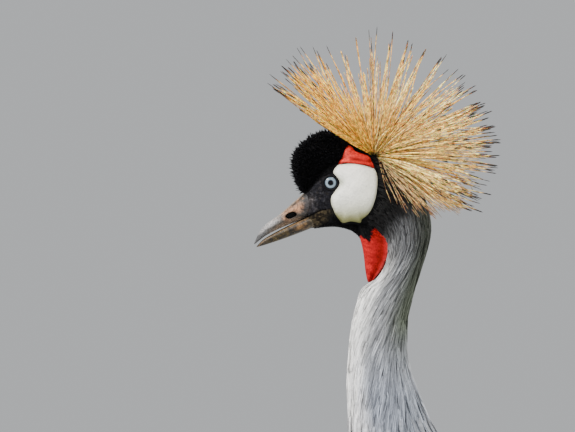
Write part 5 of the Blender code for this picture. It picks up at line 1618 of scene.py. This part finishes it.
def make_toes(word, side, ankle, scale, horn):
    """The four toes of a foot, with joints and claws."""
    for toe, turn, length, radius in TOES:
        angle = math.radians(turn)
        way = np.array((-math.cos(angle), math.sin(angle) * side, 0.0))
        rows = []
        for share, height, size in TOE_ROWS:
            r = radius * size
            x, y, _ = ankle + way * length * share
            rows.append((x, y, FLOOR + (height or r * 0.95 - 0.8), r * 0.95, r))
        scaled_limb(f"toe_{toe}_{word}", rows, 110, scale, 4.2, 32, UPWARD, 1.0)
        made = make_claw(f"claw_tip_{toe}_{word}", np.array(rows[-1][:3]), way, rows[-1][3], horn)
        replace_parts(made, f"claw_{toe}_{word}")


def make_legs(draw, blade):
    """Feathered thighs, scaly shanks, tarsi and feet, and the claws."""
    scale = scale_look()
    horn = claw_look()
    for word, side in SIDES:
        make_thigh(draw, blade, word, side)
        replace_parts(scaled_limb(f"shank_skin_{word}", leg_rows(SHANK, side), 90, scale), f"shank_{word}")
        tarsus = leg_rows(TARSUS, side)
        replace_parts(scaled_limb(f"tarsus_skin_{word}", tarsus, 260, scale, 6.4), f"tarsus_{word}")
        ankle = tarsus[-1, :3]
        hub = [(ankle[0] + x, ankle[1], ankle[2] + z, wide, deep) for x, z, wide, deep in HUB]
        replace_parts(scaled_limb(f"foot_skin_{word}", hub, 40, scale), f"foot_{word}")
        make_toes(word, side, ankle, scale, horn)


def make_scapulars(draw, blade):
    """Long grey feathers from the back, over the top of the wings."""
    place, degrees = spread_over(draw, 19.3, 26.3, 7.0)
    keep = np.abs(degrees) > 126.0 + draw.uniform(-7.0, 7.0, len(place))
    place, degrees = place[keep], degrees[keep]
    length = draw.uniform(60.0, 105.0, len(place))
    drift = -np.sign(degrees) * draw.uniform(2.0, 12.0, len(place)) * smooth(180.0, 148.0, np.abs(degrees))
    lifts = (-4.0, 5.0, 11.5, 14.4, 15.6, 15.6, 14.6, 13.0)
    widths = (1.6, 3.8, 5.0, 5.4, 5.0, 3.8, 2.0, 0.0)
    grey_feathers("scapulars", blade, draw, place, degrees, length, drift, lifts, widths, 0.2)


def make_tertials(draw, blade, count=64):
    """Chestnut feathers of the inner wings, roofed over the rump and the tail's root."""
    across = draw.uniform(-1.0, 1.0, count)
    start = draw.uniform(0.52, 0.70, count)
    end = np.minimum(start + draw.uniform(0.26, 0.34, count), 0.985 - 0.05 * draw.uniform(0.0, 1.0, count))
    t = np.linspace(0.0, 1.0, 9)
    ridge = rows_at(WING_TOP, (start[:, None] + (end - start)[:, None] * t) * WING_LAST)
    width = across[:, None] * (ridge[..., 1] * 0.9 + 5.0)
    rise = 8.0 + draw.uniform(-1.2, 1.2, (count, 1)) + 2.0 * np.sin(math.pi * t) - width**2 / 44.0
    paths = np.stack((ridge[..., 0], width, ridge[..., 2] + rise), axis=-1)
    side = np.stack((np.zeros(width.shape), np.ones(width.shape), -width / 22.0), axis=-1)
    widths = np.array((1.6, 3.6, 5.2, 6.2, 6.4, 5.8, 4.4, 2.4, 0.0)) * draw.uniform(0.85, 1.1, (count, 1))
    tone = np.exp(draw.normal(0.0, 0.2, (count, 1, 1)))
    brown = mix((0.085, 0.032, 0.022), (0.030, 0.017, 0.015), smooth(0.4, 1.0, t)) * tone
    tints = mix(WING_GREY, brown, smooth(0.0, 0.45, t))
    places = np.stack((0.5 + 0.45 * across, (start - 0.4) / 0.3), axis=-1)
    add_tufts("tertials", blade, paths, side, widths, 0.35, tints, places, draw, 4, 0.2)


def make_breast_sides(draw, blade):
    """Grey feathers of the breast that lie over the front and lower edges of the wings."""
    outline = [(x, z) for x, _, z in WING_TOP + WING_BOTTOM[::-1]]
    place, degrees = spread_over(draw, 17.6, 24.6, 4.6)
    length = draw.uniform(34.0, 52.0, len(place))
    keep = ~inside(outline, trunk(place, degrees)) & (np.abs(degrees) < 128.0)
    keep &= inside(outline, trunk(further(place, length), degrees))
    place, degrees, length = place[keep], degrees[keep], length[keep]
    drift = draw.normal(0.0, 1.6, len(place))
    lifts = (-4.0, 3.0, 10.0, 14.6, 16.6, 17.0, 16.0)
    widths = (1.6, 4.2, 5.8, 6.2, 5.2, 3.0, 0.0)
    grey_feathers("breast_sides", blade, draw, place, degrees, length, drift, lifts, widths)


def add_object(name, data):
    """An object of the scene, linked."""
    made = bpy.data.objects.new(name, data)
    bpy.context.scene.collection.objects.link(made)
    return made


def make_floor():
    """A pale floor under the feet."""
    pale = bpy.data.materials.new("floor")
    pale.use_nodes = True
    shader = pale.node_tree.nodes["Principled BSDF"]
    shader.inputs["Base Color"].default_value = (0.78, 0.78, 0.76, 1.0)
    shader.inputs["Roughness"].default_value = 0.9
    mesh = bpy.data.meshes.new("floor")
    corners = [(x * FLOOR_HALF, y * FLOOR_HALF, 0) for x, y in ((-1, -1), (1, -1), (1, 1), (-1, 1))]
    mesh.from_pydata(corners, [], [(0, 1, 2, 3)])
    mesh.materials.append(pale)
    add_object("floor", mesh)


def make_light():
    """Soft light of the sky, and four lamps that face the head."""
    world = bpy.data.worlds.new("world")
    world.use_nodes = True
    sky = world.node_tree.nodes["Background"]
    sky.inputs["Color"].default_value = (0.80, 0.82, 0.84, 1.0)
    sky.inputs["Strength"].default_value = 0.62
    bpy.context.scene.world = world
    for name, place, size, energy, colour in LAMPS:
        data = bpy.data.lights.new(name, "AREA")
        data.size = size
        data.energy = energy
        data.color = colour
        lamp = add_object(name, data)
        lamp.location = Vector(ORIGIN) + Vector(place)
        lamp.rotation_euler = (-Vector(place)).to_track_quat("-Z", "Y").to_euler()


def make_camera():
    """The camera at the photo's angle, which looks straight across at the head's left side."""
    data = bpy.data.cameras.new("camera")
    data.lens = CAMERA_LENS
    data.sensor_width = 36.0
    data.clip_end = 100.0
    camera = add_object("camera", data)
    camera.location = Vector(ORIGIN) + Vector(CAMERA_PLACE)
    camera.rotation_euler = (math.pi / 2, 0.0, 0.0)
    bpy.context.scene.camera = camera


def main():
    """Build the bird from the head down, then the stage."""
    draw = np.random.default_rng(11)
    velvet = velvet_look()
    skin = make_skin()
    crown = make_crown(draw, velvet)
    skin_tree = tree_from(skin)
    crown_tree = tree_from(crown)
    make_eyes()
    red = make_patches([skin_tree, crown_tree])
    make_wattle(draw, red, velvet)
    make_bill()
    make_crest(draw, [skin_tree, crown_tree])
    blade = make_neck(draw)
    make_body(draw, blade)
    make_wings(draw, [skin_tree], blade)
    make_scapulars(draw, blade)
    make_breast_sides(draw, blade)
    make_tertials(draw, blade)
    make_tail(draw, blade)
    make_legs(draw, blade)
    make_floor()
    make_light()
    make_camera()


main()
